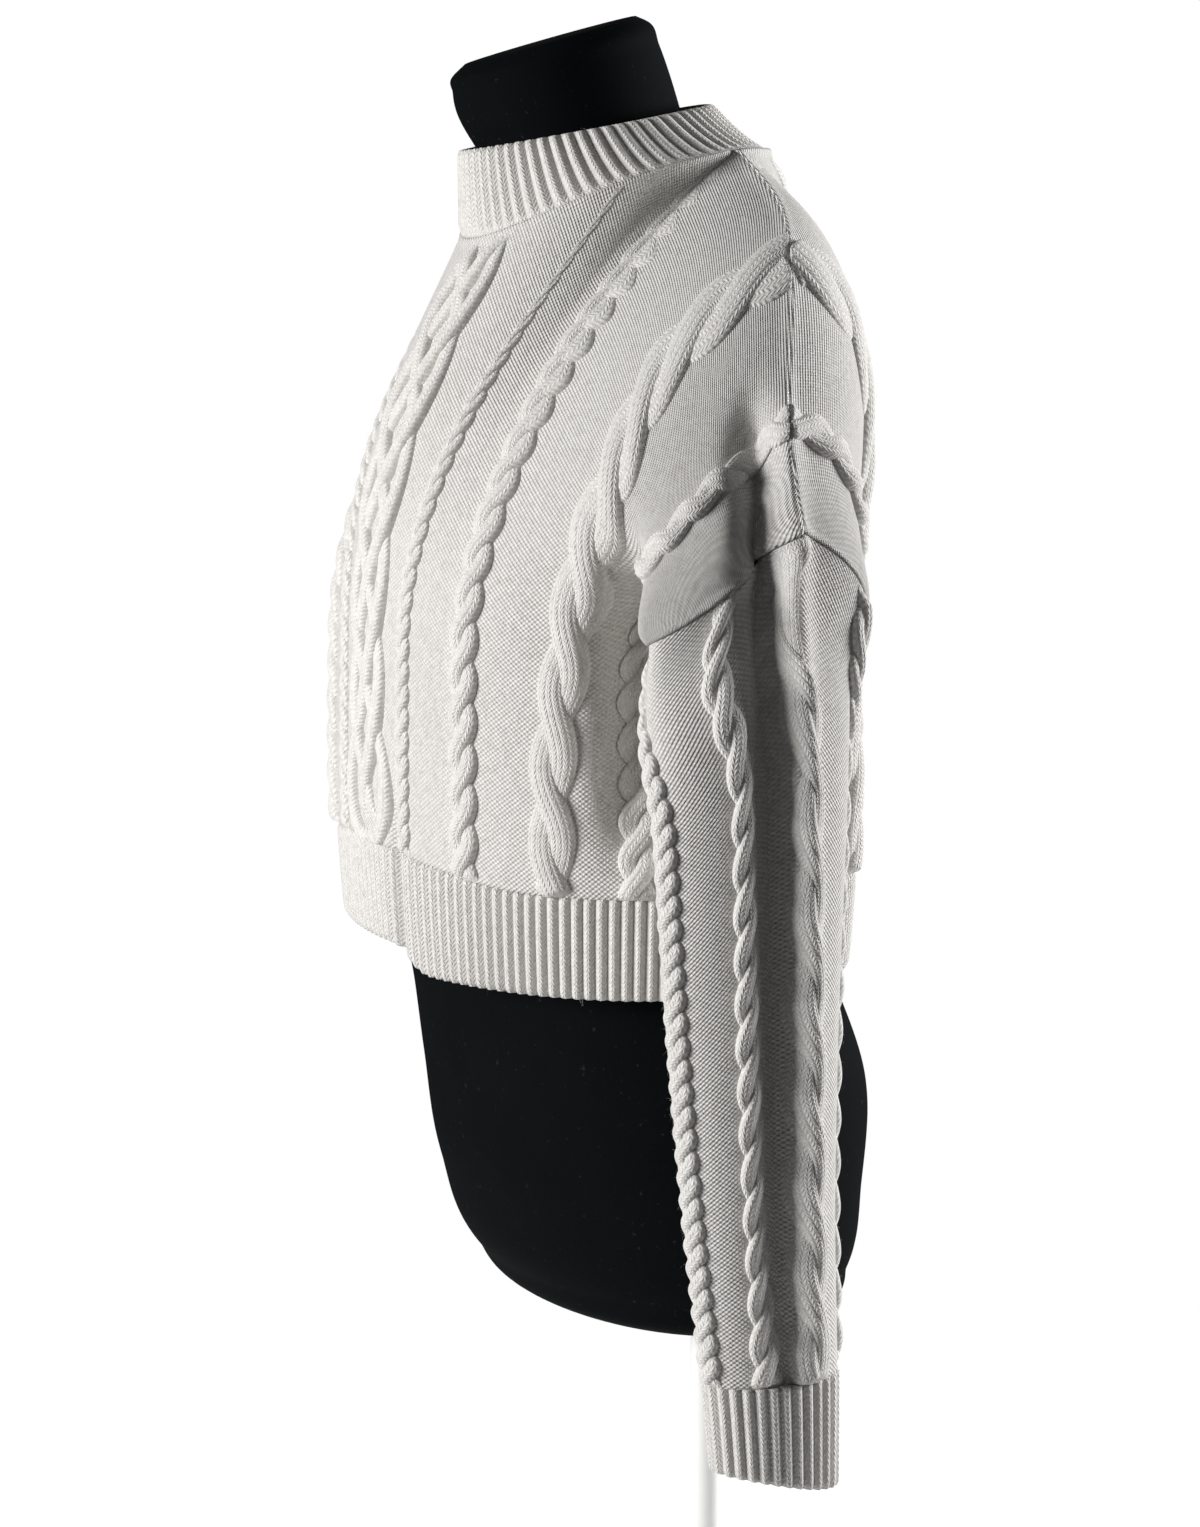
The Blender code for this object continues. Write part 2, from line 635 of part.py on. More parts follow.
def buildCollar():
    count = 2*collarRibs
    share = np.arange(count)/count
    u, v = np.meshgrid(share, np.array([0.010, 0.15, 1.0]))
    points = collarPoint(u, v)
    normals = gridNormals(points, True, False)
    normals[..., 2] = 0
    normals /= np.linalg.norm(normals, axis=-1, keepdims=True)
    ridge = np.where(np.arange(count) % 2 == 1, ribHeight, 0.0)
    rise = np.array([0.0, 1.0, 1.0])
    outer = points + normals*(rise[:, None]*ridge)[..., None]
    inner = points - normals*ribThickness
    clothWall("neck_band", outer, inner, [0, 1, 2], list(range(0, count, 4)), True, False)


def sleeveColumnPlaces():
    """Shares of the girth, close together on the cables."""
    places = []
    for cable, reach, parts in zip(sleeveCables, sleeveCableReach,
                                   ((-1, -0.5, 0, 0.5, 1), (-1, -0.4, 0.4, 1), (-1, 0, 1))):
        for side in ((1,) if cable.centre == 0 else (-1, 1)):
            places += [0.5 + side*(cable.centre + part*reach) for part in parts]
    for side in (-1, 1):
        places += [0.5 + side*place for place in sleevePlainColumns]
    return np.array([0.0] + sorted(places))


def buildSleeves():
    share = sleeveColumnPlaces()
    rows = np.arange(sleeveRows + 1)/sleeveRows
    for armSide, name in ((1, "sleeve_left"), (-1, "sleeve_right")):
        u, v = np.meshgrid(share, rows)
        v = v.copy()
        v[-1] = 1 - seamGap/sleeveLength
        points, girth = sleevePoint(u, v, armSide)
        normals = gridNormals(points, True, armSide > 0)
        normals[0] = armholeNormal(points[0])
        down = points[1] - points[0]
        points[0] += down/np.linalg.norm(down, axis=-1, keepdims=True)*armholeGap
        fade = np.ones_like(u)
        fade[0], fade[-1] = 0, 0
        sunk = points - normals*hangingFold(points)[..., None]
        outer = sunk + normals*(fade*sleeveRelief(u, v, girth))[..., None]
        inner = sunk - normals*clothThickness
        clothWall(name, outer, inner, spacedPicks(len(rows), 3),
                  list(range(0, len(share), 2)), True, armSide > 0)


def buildCuffs():
    count = 2*cuffRibs
    share = np.arange(count)/count
    for armSide, name in ((1, "cuff_left"), (-1, "cuff_right")):
        u, v = np.meshgrid(share, np.array([0.0, 0.5, 1.0]))
        points, _ = cuffPoint(u, v, armSide)
        normals = gridNormals(points, True, armSide > 0)
        normals[..., 2] = 0
        normals /= np.linalg.norm(normals, axis=-1, keepdims=True)
        ridge = np.where(np.arange(count) % 2 == 1, cuffRibHeight, 0.0)
        outer = points + normals*ridge[None, :, None]
        inner = points - normals*ribThickness
        clothWall(name, outer, inner, [0, 2], list(range(0, count, 4)), True, armSide > 0)


def ringFaces(rings, sides):
    faces = []
    for ring in range(rings - 1):
        for side in range(sides):
            after = (side + 1) % sides
            faces.append((ring*sides + side, ring*sides + after,
                          (ring + 1)*sides + after, (ring + 1)*sides + side))
    faces.append(tuple(reversed(range(sides))))
    faces.append(tuple((rings - 1)*sides + side for side in range(sides)))
    return faces


def buildForm():
    turn = 2*np.pi*np.arange(formSides)/formSides
    rings = []
    for height, halfX, frontDepth, backDepth, centreY in formTable[1:]:
        depth = np.where(np.cos(turn) > 0, frontDepth, backDepth)
        y = centreY - depth*np.cos(turn)
        slant = formTopSlant*smoothStep(slantStart, slantEnd, height)
        rings.append(np.stack([halfX*np.sin(turn), y, height + slant*(y - centreY)], axis=-1))
    points = np.concatenate(rings)
    makeObject("dress_form", points, ringFaces(len(rings), formSides), "form")


def buildStand():
    """The base round the origin, and the pole behind its middle up to the form."""
    formUnderside = garmentLift + formTable[1][0]
    for name, radius, centreY, low, high, sides in (
            ("stand_base", baseRadius, 0.0, 0.0, baseThickness, 48),
            ("stand_pole", poleRadius, poleCentreY, baseThickness + seamGap,
             formUnderside - seamGap, 16)):
        turn = 2*np.pi*np.arange(sides)/sides
        x, y = radius*np.cos(turn), centreY + radius*np.sin(turn)
        ring = [np.stack([x, y, np.full(sides, height)], axis=-1) for height in (low, high)]
        makeObject(name, np.concatenate(ring), ringFaces(2, sides), "stand")


def main():
    for old in list(bpy.data.objects):
        bpy.data.objects.remove(old, do_unlink=True)
    buildBody()
    buildWelts()
    buildCollar()
    buildSleeves()
    buildCuffs()
    buildForm()
    buildStand()


main()
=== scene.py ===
# Cable knit sweater on a dress form: the finish of every surface, around the CAD frame.
import math

import bpy
import numpy as np
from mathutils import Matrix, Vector


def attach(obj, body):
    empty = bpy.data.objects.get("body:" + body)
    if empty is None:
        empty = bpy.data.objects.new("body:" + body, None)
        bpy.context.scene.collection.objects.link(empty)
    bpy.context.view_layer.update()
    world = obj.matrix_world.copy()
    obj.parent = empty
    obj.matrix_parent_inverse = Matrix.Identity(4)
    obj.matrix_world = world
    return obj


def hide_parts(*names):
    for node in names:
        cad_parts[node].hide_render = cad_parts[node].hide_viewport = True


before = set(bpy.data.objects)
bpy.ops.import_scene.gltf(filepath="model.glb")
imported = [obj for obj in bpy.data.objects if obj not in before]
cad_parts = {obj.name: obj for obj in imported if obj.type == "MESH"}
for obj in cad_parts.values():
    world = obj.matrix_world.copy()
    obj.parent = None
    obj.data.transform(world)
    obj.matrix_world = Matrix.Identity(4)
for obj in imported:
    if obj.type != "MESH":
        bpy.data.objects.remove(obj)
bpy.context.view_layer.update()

print("frame loaded:", len(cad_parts), "nodes")

# Everything hangs from this height above the floor. The wearer's left is +X and the front is -Y.
garmentLift = 0.035
garmentMove = np.array([0, 0, garmentLift])
sharpAngle = math.radians(50)  # edges of the form and the stand look sharp from this angle up

cloth = {
    "wall": 0.0024,  # thickness of the knit between the cables
    "waleWidth": 0.0034,  # one stitch across
    "courseHeight": 0.0027,  # one row of stitches
    "innerStep": 8,  # the plain inside has every eighth point of the outside
    "ribWall": 0.0030,
    "ribPoints": 8,  # columns of points to a rib
    "ribRows": 24,
    "ribSoftness": 6,  # passes that even out the normals of a ribbed piece
}

body = {
    "width": 0.570,  # flat width of one panel
    "length": 0.400,  # knitted length from the welt to the shoulder seam
    "wholeLength": 0.42,
    "weltShare": 0.84,  # flat width of a welt, as a part of the panel's
    "armpitHeight": 0.600, "armpitRow": 0.32,
    "underarmFlare": 0.006,
    "flareStart": (0.020, 0.86),  # it begins this far below the armpit, from this share
    "aroundArm": (0.72, 1.0),  # shares over which a panel turns from one form into the next
    "onShoulder": (0.10, 0.55),
    "outside": (0.50, 1.0),
    "endBlend": (-0.10, -0.05, 0.0, 0.05, 0.10),  # shares whose top edge is averaged
    "hemHeight": 0.4165, "hemFrontLift": 0.014,
    "liftLeft": (0.11, 0.27),  # shares over which the hem's lift ends
    "liftRight": (0.30, 0.55),
    "hemBackDrop": 0.002,
    "dropEnds": (0.2, 1.0),
    "seamReach": (0.6, 1.0),  # share up to which the top of the welt follows, front and back
    "weltHeight": 0.058, "roundness": 2.08,
    "seamRoll": 0.0011,  # height of the bead along a sewn seam, its place and its width
    "rollPlace": 0.0016, "rollWidth": 0.0030,
    "noRoll": 0.05,  # added below the armpit's row, so that there is no bead
    "sideBlend": 0.90,  # share and row from which a panel turns to its neighbour's normals
    "topBlend": 0.93, "armpitBlend": 0.02, "neckLean": 0.8,
    "cableRise": (0, 0.004),  # lengths over which the cables rise and end
    "cableEnd": 0.0015, "rows": 160, "columns": 192,
    "sections": (
        # height, halfWidth, frontDepth, backDepth, centreY
        (0.400, 0.189, 0.150, 0.127, 0.005),
        (0.440, 0.194, 0.154, 0.130, 0.005),
        (0.500, 0.200, 0.157, 0.131, 0.005),
        (0.560, 0.199, 0.157, 0.130, 0.005),
        (0.610, 0.195, 0.156, 0.128, 0.005),
    ),
    "shoulderSeam": (
        # share, x, y, z
        (0.14, 0.127, 0.053, 0.858),
        (0.29, 0.176, 0.037, 0.832),
        (0.62, 0.241, 0.005, 0.735),
        (1.00, 0.256, 0.004, 0.680),
    ),
    "front": {
        "reach": (0.130, 0.065),
        "leaveArm": (0.024, -0.108, 0.040),
        "toNeck": (0, 0.040, 0.070),
        "toSeam": (0, 0.072, 0.024),
        "toArm": (-0.002, 0.096, 0.094),
    },
    "back": {
        "reach": (0.100, 0.050),
        "leaveArm": (0.024, 0.068, -0.004),
        "toNeck": (0, -0.030, 0.070),
        "toSeam": (0, -0.080, 0.012),
        "toArm": (-0.002, -0.064, 0.030),
    },
}

neck = {
    "halfX": 0.087, "halfY": 0.092, "centreY": 0.010, "height": 0.862, "tilt": 0.026,
    "sideRise": 0.015, "spacing": 1.35,
    "seamTurn": math.radians(118),  # where the shoulder seam meets the neckline
    "share": 0.4135,  # share of half a panel that ends at the neckline
}

collar = {
    "halfX": 0.066, "halfY": 0.075, "centreY": -0.009, "height": 0.9015, "tilt": 0.0145,
    "bulge": 0.7, "ribs": 62, "ribHeight": 0.0017,
    "ribsRise": 0.12,  # part of the height over which the ribs rise from the seam
    "edge": (0.0013, 0.94),  # how far the edge is rounded back, and from which part of the height
    "length": 0.045, "girth": 0.46,
}

welt = {"ribs": 78, "ribHeight": 0.0017, "edge": (0.0012, 0.95), "turnShare": 0.97}

sleeve = {
    "length": 0.441,
    "wholeSize": (0.31, 0.44),  # its mean width laid open, and its length
    "middle": (0.227, -0.008, 0.640),
    "turn": 0.080, "rows": 176, "columns": 128,
    "hangRow": 0.16,  # by this row it has its own section, and by turnRow its full turn
    "turnRow": 0.25,
    "underarm": (0.055, 0.012),  # how far its seam turns down, and up to which height over the armpit
    "seamRow": 0.06,
    "cableRise": (0, 0.010),
    "cableEnd": 0.004,
    "rightSwing": 0.052,  # the right cuff hangs this much further back
    "swingTop": 0.66, "swingDrop": 0.44,
    "sections": (
        # height, centreX, centreY, halfX, halfY
        (0.150, 0.252, -0.002, 0.021, 0.0365),
        (0.219, 0.250, -0.005, 0.024, 0.0395),
        (0.300, 0.247, -0.010, 0.027, 0.0435),
        (0.400, 0.245, -0.014, 0.029, 0.0490),
        (0.540, 0.242, -0.016, 0.030, 0.0570),
        (0.680, 0.229, -0.016, 0.030, 0.0650),
    ),
}

cuff = {
    "topHeight": 0.219, "length": 0.050, "slant": 0.016, "ribs": 28, "ribHeight": 0.0014,
    "edge": (0.0012, 0.95),
    "wholeSize": (0.20, 0.058),
}

longFold = {  # down the outside of each arm
    "frontWidth": 0.012,
    "outer": (0.216, 0.240),  # distances from the middle over which it begins
    "ridgePlace": 1.8,  # in widths of the fold's back
    "ridgeWidth": 0.9,
    "line": (  # back is the width of its other side, below a raised ridge
        # height, y, depth, back, ridge
        (0.219, -0.006, 0.004, 0.008, 0.002),
        (0.270, -0.009, 0.010, 0.009, 0.004),
        (0.405, -0.012, 0.014, 0.009, 0.006),
        (0.540, -0.015, 0.015, 0.009, 0.006),
        (0.660, -0.014, 0.016, 0.009, 0.005),
        (0.740, -0.013, 0.015, 0.009, 0.004),
        (0.790, -0.010, 0.010, 0.009, 0.002),
        (0.815, -0.008, 0.000, 0.009, 0.000),
    ),
}

sideHollow = {
    "share": 0.765, "frontWidth": 0.055, "backWidth": 0.16, "depth": 0.034,
    "rows": (0.0, 0.22, 0.42, 0.64),  # it begins, is full, ends full, ends
}
frontTuck = {"share": 0.165, "width": 0.020, "depth": 0.006, "lastRow": 0.16}

patternShift = 0.044  # share by which the cables stand towards the wearer's left

# Each cable has two strands. share is its middle, from 0 at the centre of a panel to 1 at its side,
# or as a part of the sleeve's girth from the outer line towards the back. bend moves the middle
# out by its first number between its rows. The cable gets wider by its grow from the hem to the
# shoulder. The strands swing that far to each side and cross once every crossing, from the part
# of a crossing where they start. flatten is how much of the height goes at the neck, and a cable
# that doesn't grow gets narrower there too.
cableNames = ("share", "bend", "swing", "strand", "crossing", "start", "height", "wales",
              "hand", "flatten", "grow")
straight = (0, 0.4, 0.5, 0.6, 0.7)
neckNarrowing = 0.55  # of a cable's width, for a flatten of 1
narrowLength = 0.18  # the last part of a cable, where it gets narrower
flattenFrom, flattenTo = 0.17, 0.05  # metres before its end
bodyCables = (
    (0.1595, straight, 0.0030, 0.0082, 0.0133, 0.0, 0.0044, 2, 1, 0.80, 0),
    (0.3525, straight, 0.0048, 0.0122, 0.0225, 0.0, 0.0066, 3, 1, 0.92, 0),
    (0.5600, (0.045, 0.15, 0.45, 0.55, 0.80), 0.0060, 0.0168, 0.0445, 0.28, 0.0068, 5, -1, 0.3, 0.75),
    (0.7314, (0.030, 0.50, 0.66, 0.70, 0.95), 0.0052, 0.0122, 0.0225, 0.0, 0.0066, 3, 1, 0, 0),
)
sleeveCables = (
    (-0.300, straight, 0.0036, 0.0092, 0.0127, 0.0, 0.0052, 2, -1, 0, 0),
    (-0.137, straight, 0.0044, 0.0124, 0.0240, 0.0, 0.0058, 3, -1, 0, 0),
    (-0.006, straight, 0.0062, 0.0155, 0.0500, 0.0, 0.0058, 5, 1, 0, 0),
    (0.190, straight, 0.0044, 0.0124, 0.0240, 0.0, 0.0058, 3, 1, 0, 0),
    (0.370, straight, 0.0036, 0.0092, 0.0127, 0.0, 0.0052, 2, 1, 0, 0),
)

# The chain of rings down the middle of a panel: two pairs of strands, half a ring apart.
lattice = {
    "swing": 0.0180, "strand": 0.0118,
    "crossing": 0.1170,  # a ring begins every half of it
    "height": 0.0064, "wales": 2,
    "closing": 0.034,  # the lowest ring is widest this far above the welt
    "lowestWider": 0.40,
    "widerUntil": (0.085, 0.045),
    "roundness": 2.6,
    "innerStart": 0.60,  # width of the inner pair where it begins
    "outerRise": (0, 0.002),  # lengths over which each pair rises
    "innerRise": (0.012, 0.022),
    "cableEnd": 0.02,
}

strandShape = {
    "under": 0.46,  # height of the lower strand where two cross, as a part of full
    "roundness": 2.4,
    "sink": 0.0018,  # the edges go this far below the ground
    "ridge": 0.11,  # depth of the lines between wales, as a part of the height
    "step": 0.0016,
    "sides": {2: 10, 3: 14, 5: 24},  # by the number of wales
    "growth": (0.25, 0.85),  # parts of its length between which a cable grows
}

fuzz = {  # loose fibres that stand off the yarn
    "perArea": 18000,  # of them on each square metre
    "shortest": 0.0025, "longest": 0.0060,
    "rise": 0.35,  # how high one stands, as a part of its length
    "width": 0.00009, "pieces": 3, "curl": 0.5,
    "leastRise": 0.2,  # of the rise
    "arc": 0.75,  # part of half a wave that its path follows
    "taper": 0.8,
}

form = {
    "sides": 128, "rings": 190,
    "slant": 0.30,  # rise of the neck's top for each metre towards the back
    "slantStart": 0.880, "slantEnd": 0.955,
    "sections": (
        # height, halfX, frontDepth, backDepth, centreY
        (0.192, 0.110, 0.070, 0.074, 0.046),
        (0.199, 0.132, 0.090, 0.092, 0.044),
        (0.222, 0.151, 0.110, 0.107, 0.040),
        (0.275, 0.167, 0.126, 0.118, 0.035),
        (0.340, 0.174, 0.132, 0.122, 0.031),
        (0.385, 0.172, 0.131, 0.112, 0.024),
        (0.415, 0.168, 0.130, 0.103, 0.018),
        (0.480, 0.142, 0.112, 0.094, 0.010),
        (0.540, 0.134, 0.108, 0.090, 0.004),
        (0.610, 0.152, 0.130, 0.098, 0.004),
        (0.670, 0.166, 0.130, 0.102, 0.006),
        (0.730, 0.176, 0.104, 0.096, 0.012),
        (0.780, 0.178, 0.074, 0.074, 0.024),
        (0.808, 0.160, 0.056, 0.056, 0.032),
        (0.826, 0.124, 0.050, 0.050, 0.032),
        (0.843, 0.082, 0.052, 0.054, 0.022),
        (0.868, 0.062, 0.060, 0.058, 0.002),
        (0.895, 0.060, 0.066, 0.062, -0.011),
        (0.935, 0.056, 0.062, 0.060, -0.027),
        (0.946, 0.053, 0.059, 0.057, -0.030),
        (0.951, 0.046, 0.051, 0.050, -0.031),
    ),
}

stand = {
    "poleRadius": 0.010, "poleCentreY": 0.073, "baseRadius": 0.150, "baseThickness": 0.012,
    "baseRound": 0.003, "underRound": 0.001, "roundSteps": 7, "sides": 96,
}

studio = {
    "cameraAzimuth": math.radians(67),
    "cameraDistance": 1.9, "cameraHeight": 0.835,
    "cameraPitch": math.radians(8.3),
    "metresPerPixel": 0.0006,  # at the middle of the sweater
    "imageHeight": 1527, "floorRadius": 0.85, "floorSides": 96,
    "floorEnd": 0.98,  # it has faded out at this part of its radius
    "floorClear": 0.16,  # the floor starts to fade this far out
    "lampsAimAt": 0.6, "roomLight": 0.06, "roomWhite": 1.0,
    "lamps": {  # right of the object, towards the camera, height, size, power
        "key": (-1.80, 0.86, 0.82, 0.8, 55),
        "rim": (2.4, -0.5, 1.1, 1.2, 110),
        "top": (0.1, 0.2, 3.4, 2.0, 4),
    },
}


# Smooth curves through all columns of a table but the first, which is the place: cubic pieces whose
# slopes at the rows are the slopes between their neighbours.
def readTable(value, table):
    table = np.array(table)
    place, height = table[:, 0], table[:, 1:]
    slope = np.gradient(height, place, axis=0)
    value = np.clip(value, place[0], place[-1])
    low = np.clip(np.searchsorted(place, value) - 1, 0, len(place) - 2)
    step = (place[low + 1] - place[low])[..., None]
    t = (value - place[low])[..., None]/step
    start = (2*t**3 - 3*t**2 + 1)*height[low] + (t**3 - 2*t**2 + t)*step*slope[low]
    end = (3*t**2 - 2*t**3)*height[low + 1] + (t**3 - t**2)*step*slope[low + 1]
    return np.moveaxis(start + end, -1, 0)


# From 0 at low to 1 at high, flat at both ends.
def smoothStep(low, high, value):
    t = np.clip((value - low)/(high - low), 0, 1)
    return t*t*(3 - 2*t)


# Rises between the first two rows and goes back between the last two.
def riseAndFall(v, amount, start, full, endFull, end):
    return amount*smoothStep(start, full, v)*smoothStep(end, endFull, v)


# Vectors at length 1.
def unit(vectors):
    return vectors/np.maximum(np.linalg.norm(vectors, axis=-1, keepdims=True), 1e-12)


# Points from three arrays of coordinates.
def point3(x, y, z):
    return np.stack(np.broadcast_arrays(x, y, z), axis=-1)


# Lengths along a line of points, from 0 at its first.
def runLength(points):
    return np.concatenate([[0], np.cumsum(np.linalg.norm(np.diff(points, axis=0), axis=-1))])


# The turn that lies at a share of a curve's length, for curves drawn at a few ratios of depth to
# width and blended between them. Also the length of the curve of width 1.
def turnAtShare(share, ratio, ratios, turns, curve):
    found, lengths = [], []
    for each in ratios:
        run = runLength(np.stack(curve(turns, each), axis=-1))
        found.append(np.interp(share, run/run[-1], turns))
        lengths.append(run[-1])
    place = np.clip(np.interp(ratio, ratios, np.arange(len(ratios))), 0, len(ratios) - 1.001)
    low = place.astype(int)
    part = place - low
    found = np.stack(found)
    turn = (np.take_along_axis(found, low[None], 0)[0]*(1 - part)
            + np.take_along_axis(found, low[None] + 1, 0)[0]*part)
    lengths = np.array(lengths)
    return turn, lengths[low]*(1 - part) + lengths[low + 1]*part


# x = w sin(t)^(2/p), depth = d cos(t)^(2/p): a quarter of a super-ellipse, by shares of its length.
def quarterPoint(halfWidth, depth, share):
    power = 2/body["roundness"]
    turn, _ = turnAtShare(share, depth/halfWidth, (0.55, 0.65, 0.75, 0.85),
                          np.linspace(0, np.pi/2, 300),
                          lambda t, ratio: (np.sin(t)**power, ratio*np.cos(t)**power))
    return halfWidth*np.sin(turn)**power, depth*np.cos(turn)**power


# An ellipse that tilts forward and rises at its sides.
def neckPoint(turn):
    height = neck["height"] - neck["tilt"]*np.cos(turn) + neck["sideRise"]*np.sin(turn)**2
    return point3(neck["halfX"]*np.sin(turn), neck["centreY"] - neck["halfY"]*np.cos(turn), height)


# Below the armpit: the section at that height, turned out a little where the sleeve begins.
def torsoPoint(share, height, side):
    height = height + 0*share
    halfWidth, front, back, centreY = readTable(height, body["sections"])
    x, depth = quarterPoint(halfWidth, front if side < 0 else back, share)
    armpit = body["armpitHeight"]
    drop, outer = body["flareStart"]
    flare = smoothStep(armpit - drop, armpit, height)*smoothStep(outer, 1.0, share)
    return point3(x + body["underarmFlare"]*flare, centreY + side*depth, height)


# The neckline for the shares next to the middle, and the shoulder seam for the others.
def topEdge(share, side):
    turn = 1 - (1 - np.clip(share/neck["share"], 0, 1))**neck["spacing"]
    if side < 0:
        turn = turn*neck["seamTurn"]
    else:
        turn = np.pi - turn*(np.pi - neck["seamTurn"])
    table = ((0.0, *neckPoint(neck["seamTurn"])), *body["shoulderSeam"])
    along = np.clip((share - neck["share"])/(1 - neck["share"]), 0, 1)
    seam = np.stack(readTable(along, table), axis=-1)
    return np.where((share < neck["share"])[..., None], neckPoint(turn), seam)


# (1-t)^3 A + 3(1-t)^2 t B + 3(1-t) t^2 C + t^3 D, from the armpit level A over the chest and the
# shoulder to the top edge D.
def archPoint(share, rise, side):
    start = torsoPoint(share, body["armpitHeight"], side)
    end = topEdge(share, side)
    aroundArm, onShoulder, outside = (smoothStep(*body[name], share)[..., None] for name in
                                      ("aroundArm", "onShoulder", "outside"))
    pulls = body["front" if side < 0 else "back"]
    leaveArm, toNeck, toSeam, toArm = (np.array(pulls[name], float) for name in
                                       ("leaveArm", "toNeck", "toSeam", "toArm"))
    reach = pulls["reach"][0] - pulls["reach"][1]*share[..., None]
    leave = reach*(1 - aroundArm)*np.array([0, 0, 1.0]) + aroundArm*leaveArm
    arrive = toNeck*(1 - onShoulder) + onShoulder*(toSeam*(1 - outside) + toArm*outside)
    softEnd = np.zeros(share.shape + (3,))
    for step in body["endBlend"]:
        near = topEdge(np.clip(np.abs(share + step), 0, 1), side)
        near[..., 0] *= np.where(share + step < 0, -1, 1)
        softEnd += near/len(body["endBlend"])
    t = rise[..., None]
    return ((1 - t)**3*start + 3*(1 - t)**2*t*(start + leave)
            + 3*(1 - t)*t*t*(softEnd - arrive) + t**3*end)


# Lower edge of the welt: level, and lifted at the centre front up to a tuck.
def hemEdge(across, side):
    share = np.abs(across)
    if side < 0:
        ends = np.where(across > 0, smoothStep(*body["liftLeft"], share),
                        smoothStep(*body["liftRight"], share))
        return body["hemHeight"] + body["hemFrontLift"]*(1 - ends)
    return body["hemHeight"] - body["hemBackDrop"]*(1 - smoothStep(*body["dropEnds"], share))


# Height of the line where the welt ends and the cables begin.
def weltSeam(share, side):
    lift = body["hemFrontLift"] if side < 0 else -body["hemBackDrop"]
    near = np.clip(1 - (share/body["seamReach"][side > 0])**2, 0, 1)
    return body["hemHeight"] + body["weltHeight"] + lift*near**2


# A point of a panel: across from -1 to 1, row from 0 at the welt to 1 at the top edge.
def bodyPoint(across, row, side):
    share = np.abs(across)
    low = weltSeam(share, side)
    height = low + (body["armpitHeight"] - low)*np.clip(row/body["armpitRow"], 0, 1)
    torso = torsoPoint(share, height, side)
    arch = archPoint(share, np.clip((row - body["armpitRow"])/(1 - body["armpitRow"]), 0, 1), side)
    point = np.where((row < body["armpitRow"])[..., None], torso, arch)
    point[..., 0] *= np.where(across < 0, -1.0, 1.0)
    return point


# The panels' side edges above the armpit, by shares of their length: 0 at the underarm, 0.5 at the
# shoulder seam, up the front and down the back.
def armholePoint(share, armSide):
    rise = np.linspace(0, 1, 400)
    result = np.empty(share.shape + (3,))
    for side, part, length in ((-1, share <= 0.5, 2*share), (1, share > 0.5, 2 - 2*share)):
        curve = archPoint(np.ones_like(rise), rise, side)
        run = runLength(curve)
        for axis in range(3):
            values = np.interp(length*run[-1], run, curve[:, axis])
            result[..., axis] = np.where(part, values, result[..., axis])
    return result*np.array([armSide, 1, 1])


# An ellipse by shares of its girth, from the body side round by the front; and its girth.
def ringShare(centreX, centreY, halfX, halfY, share):
    turn, girth = turnAtShare(share % 1.0, halfX/halfY, (0.35, 0.45, 0.55, 0.65, 0.75),
                              np.linspace(0, 2*np.pi, 721),
                              lambda t, ratio: (ratio*np.cos(t), np.sin(t)))
    return centreX - halfX*np.cos(turn), centreY - halfY*np.sin(turn), girth*halfY


# How far a sleeve has swung back at a height.
def hangBack(height, armSide):
    if armSide > 0:
        return np.zeros_like(height)
    drop = np.clip((sleeve["swingTop"] - height)/sleeve["swingDrop"], 0, 1)
    return sleeve["rightSwing"]*drop**0.8


# The armhole blends into the sleeve's own section over the first sixth of its length.
def sleevePoint(share, row, armSide):
    top = armholePoint(share, 1)
    height = top[..., 2]*(1 - row) + cuff["topHeight"]*row
    turned = share + sleeve["turn"]*smoothStep(0, sleeve["turnRow"], row)
    x, y, girth = ringShare(*readTable(height, sleeve["sections"]), turned)
    hang = smoothStep(0, sleeve["hangRow"], row)
    x = top[..., 0]*(1 - hang) + x*hang
    y = top[..., 1]*(1 - hang) + y*hang + hangBack(height, armSide)*hang
    return point3(x*armSide, y, height), girth


# The sleeve's section carried on down, to a free edge that hangs lower at the back.
def cuffPoint(share, row, armSide):
    back = 0.5 + 0.5*np.sin(2*np.pi*(share + sleeve["turn"]) + np.pi)
    height = cuff["topHeight"] - (cuff["length"] + cuff["slant"]*back)*row
    x, y, _ = ringShare(*readTable(height, sleeve["sections"]), share + sleeve["turn"])
    return point3(x*armSide, y + hangBack(height, armSide), height)


# Between the neckline and a smaller ellipse above it, upright first and leaning in above.
def collarPoint(share, row):
    turn = 2*np.pi*share
    low = neckPoint(turn)
    high = point3(collar["halfX"]*np.sin(turn), collar["centreY"] - collar["halfY"]*np.cos(turn),
                  collar["height"] - collar["tilt"]*np.cos(turn))
    lean = (row**collar["bulge"])[..., None]
    point = low*(1 - lean) + high*lean
    point[..., 2] = low[..., 2]*(1 - row) + high[..., 2]*row
    return point


# Depth of the long fold: depth exp(-(y/width)^2), and behind it a ridge of the same kind.
def hangingFold(points):
    out, height = np.abs(points[..., 0]), points[..., 2]
    y = points[..., 1] - np.where(points[..., 0] < 0, hangBack(height, -1), 0)
    line, depth, back, ridge = readTable(height, longFold["line"])
    beside = y - line
    valley = depth*np.exp(-(beside/np.where(beside < 0, longFold["frontWidth"], back))**2)
    behind = (beside - longFold["ridgePlace"]*back)/(longFold["ridgeWidth"]*back)
    return (valley - ridge*np.exp(-behind**2))*smoothStep(*longFold["outer"], out)


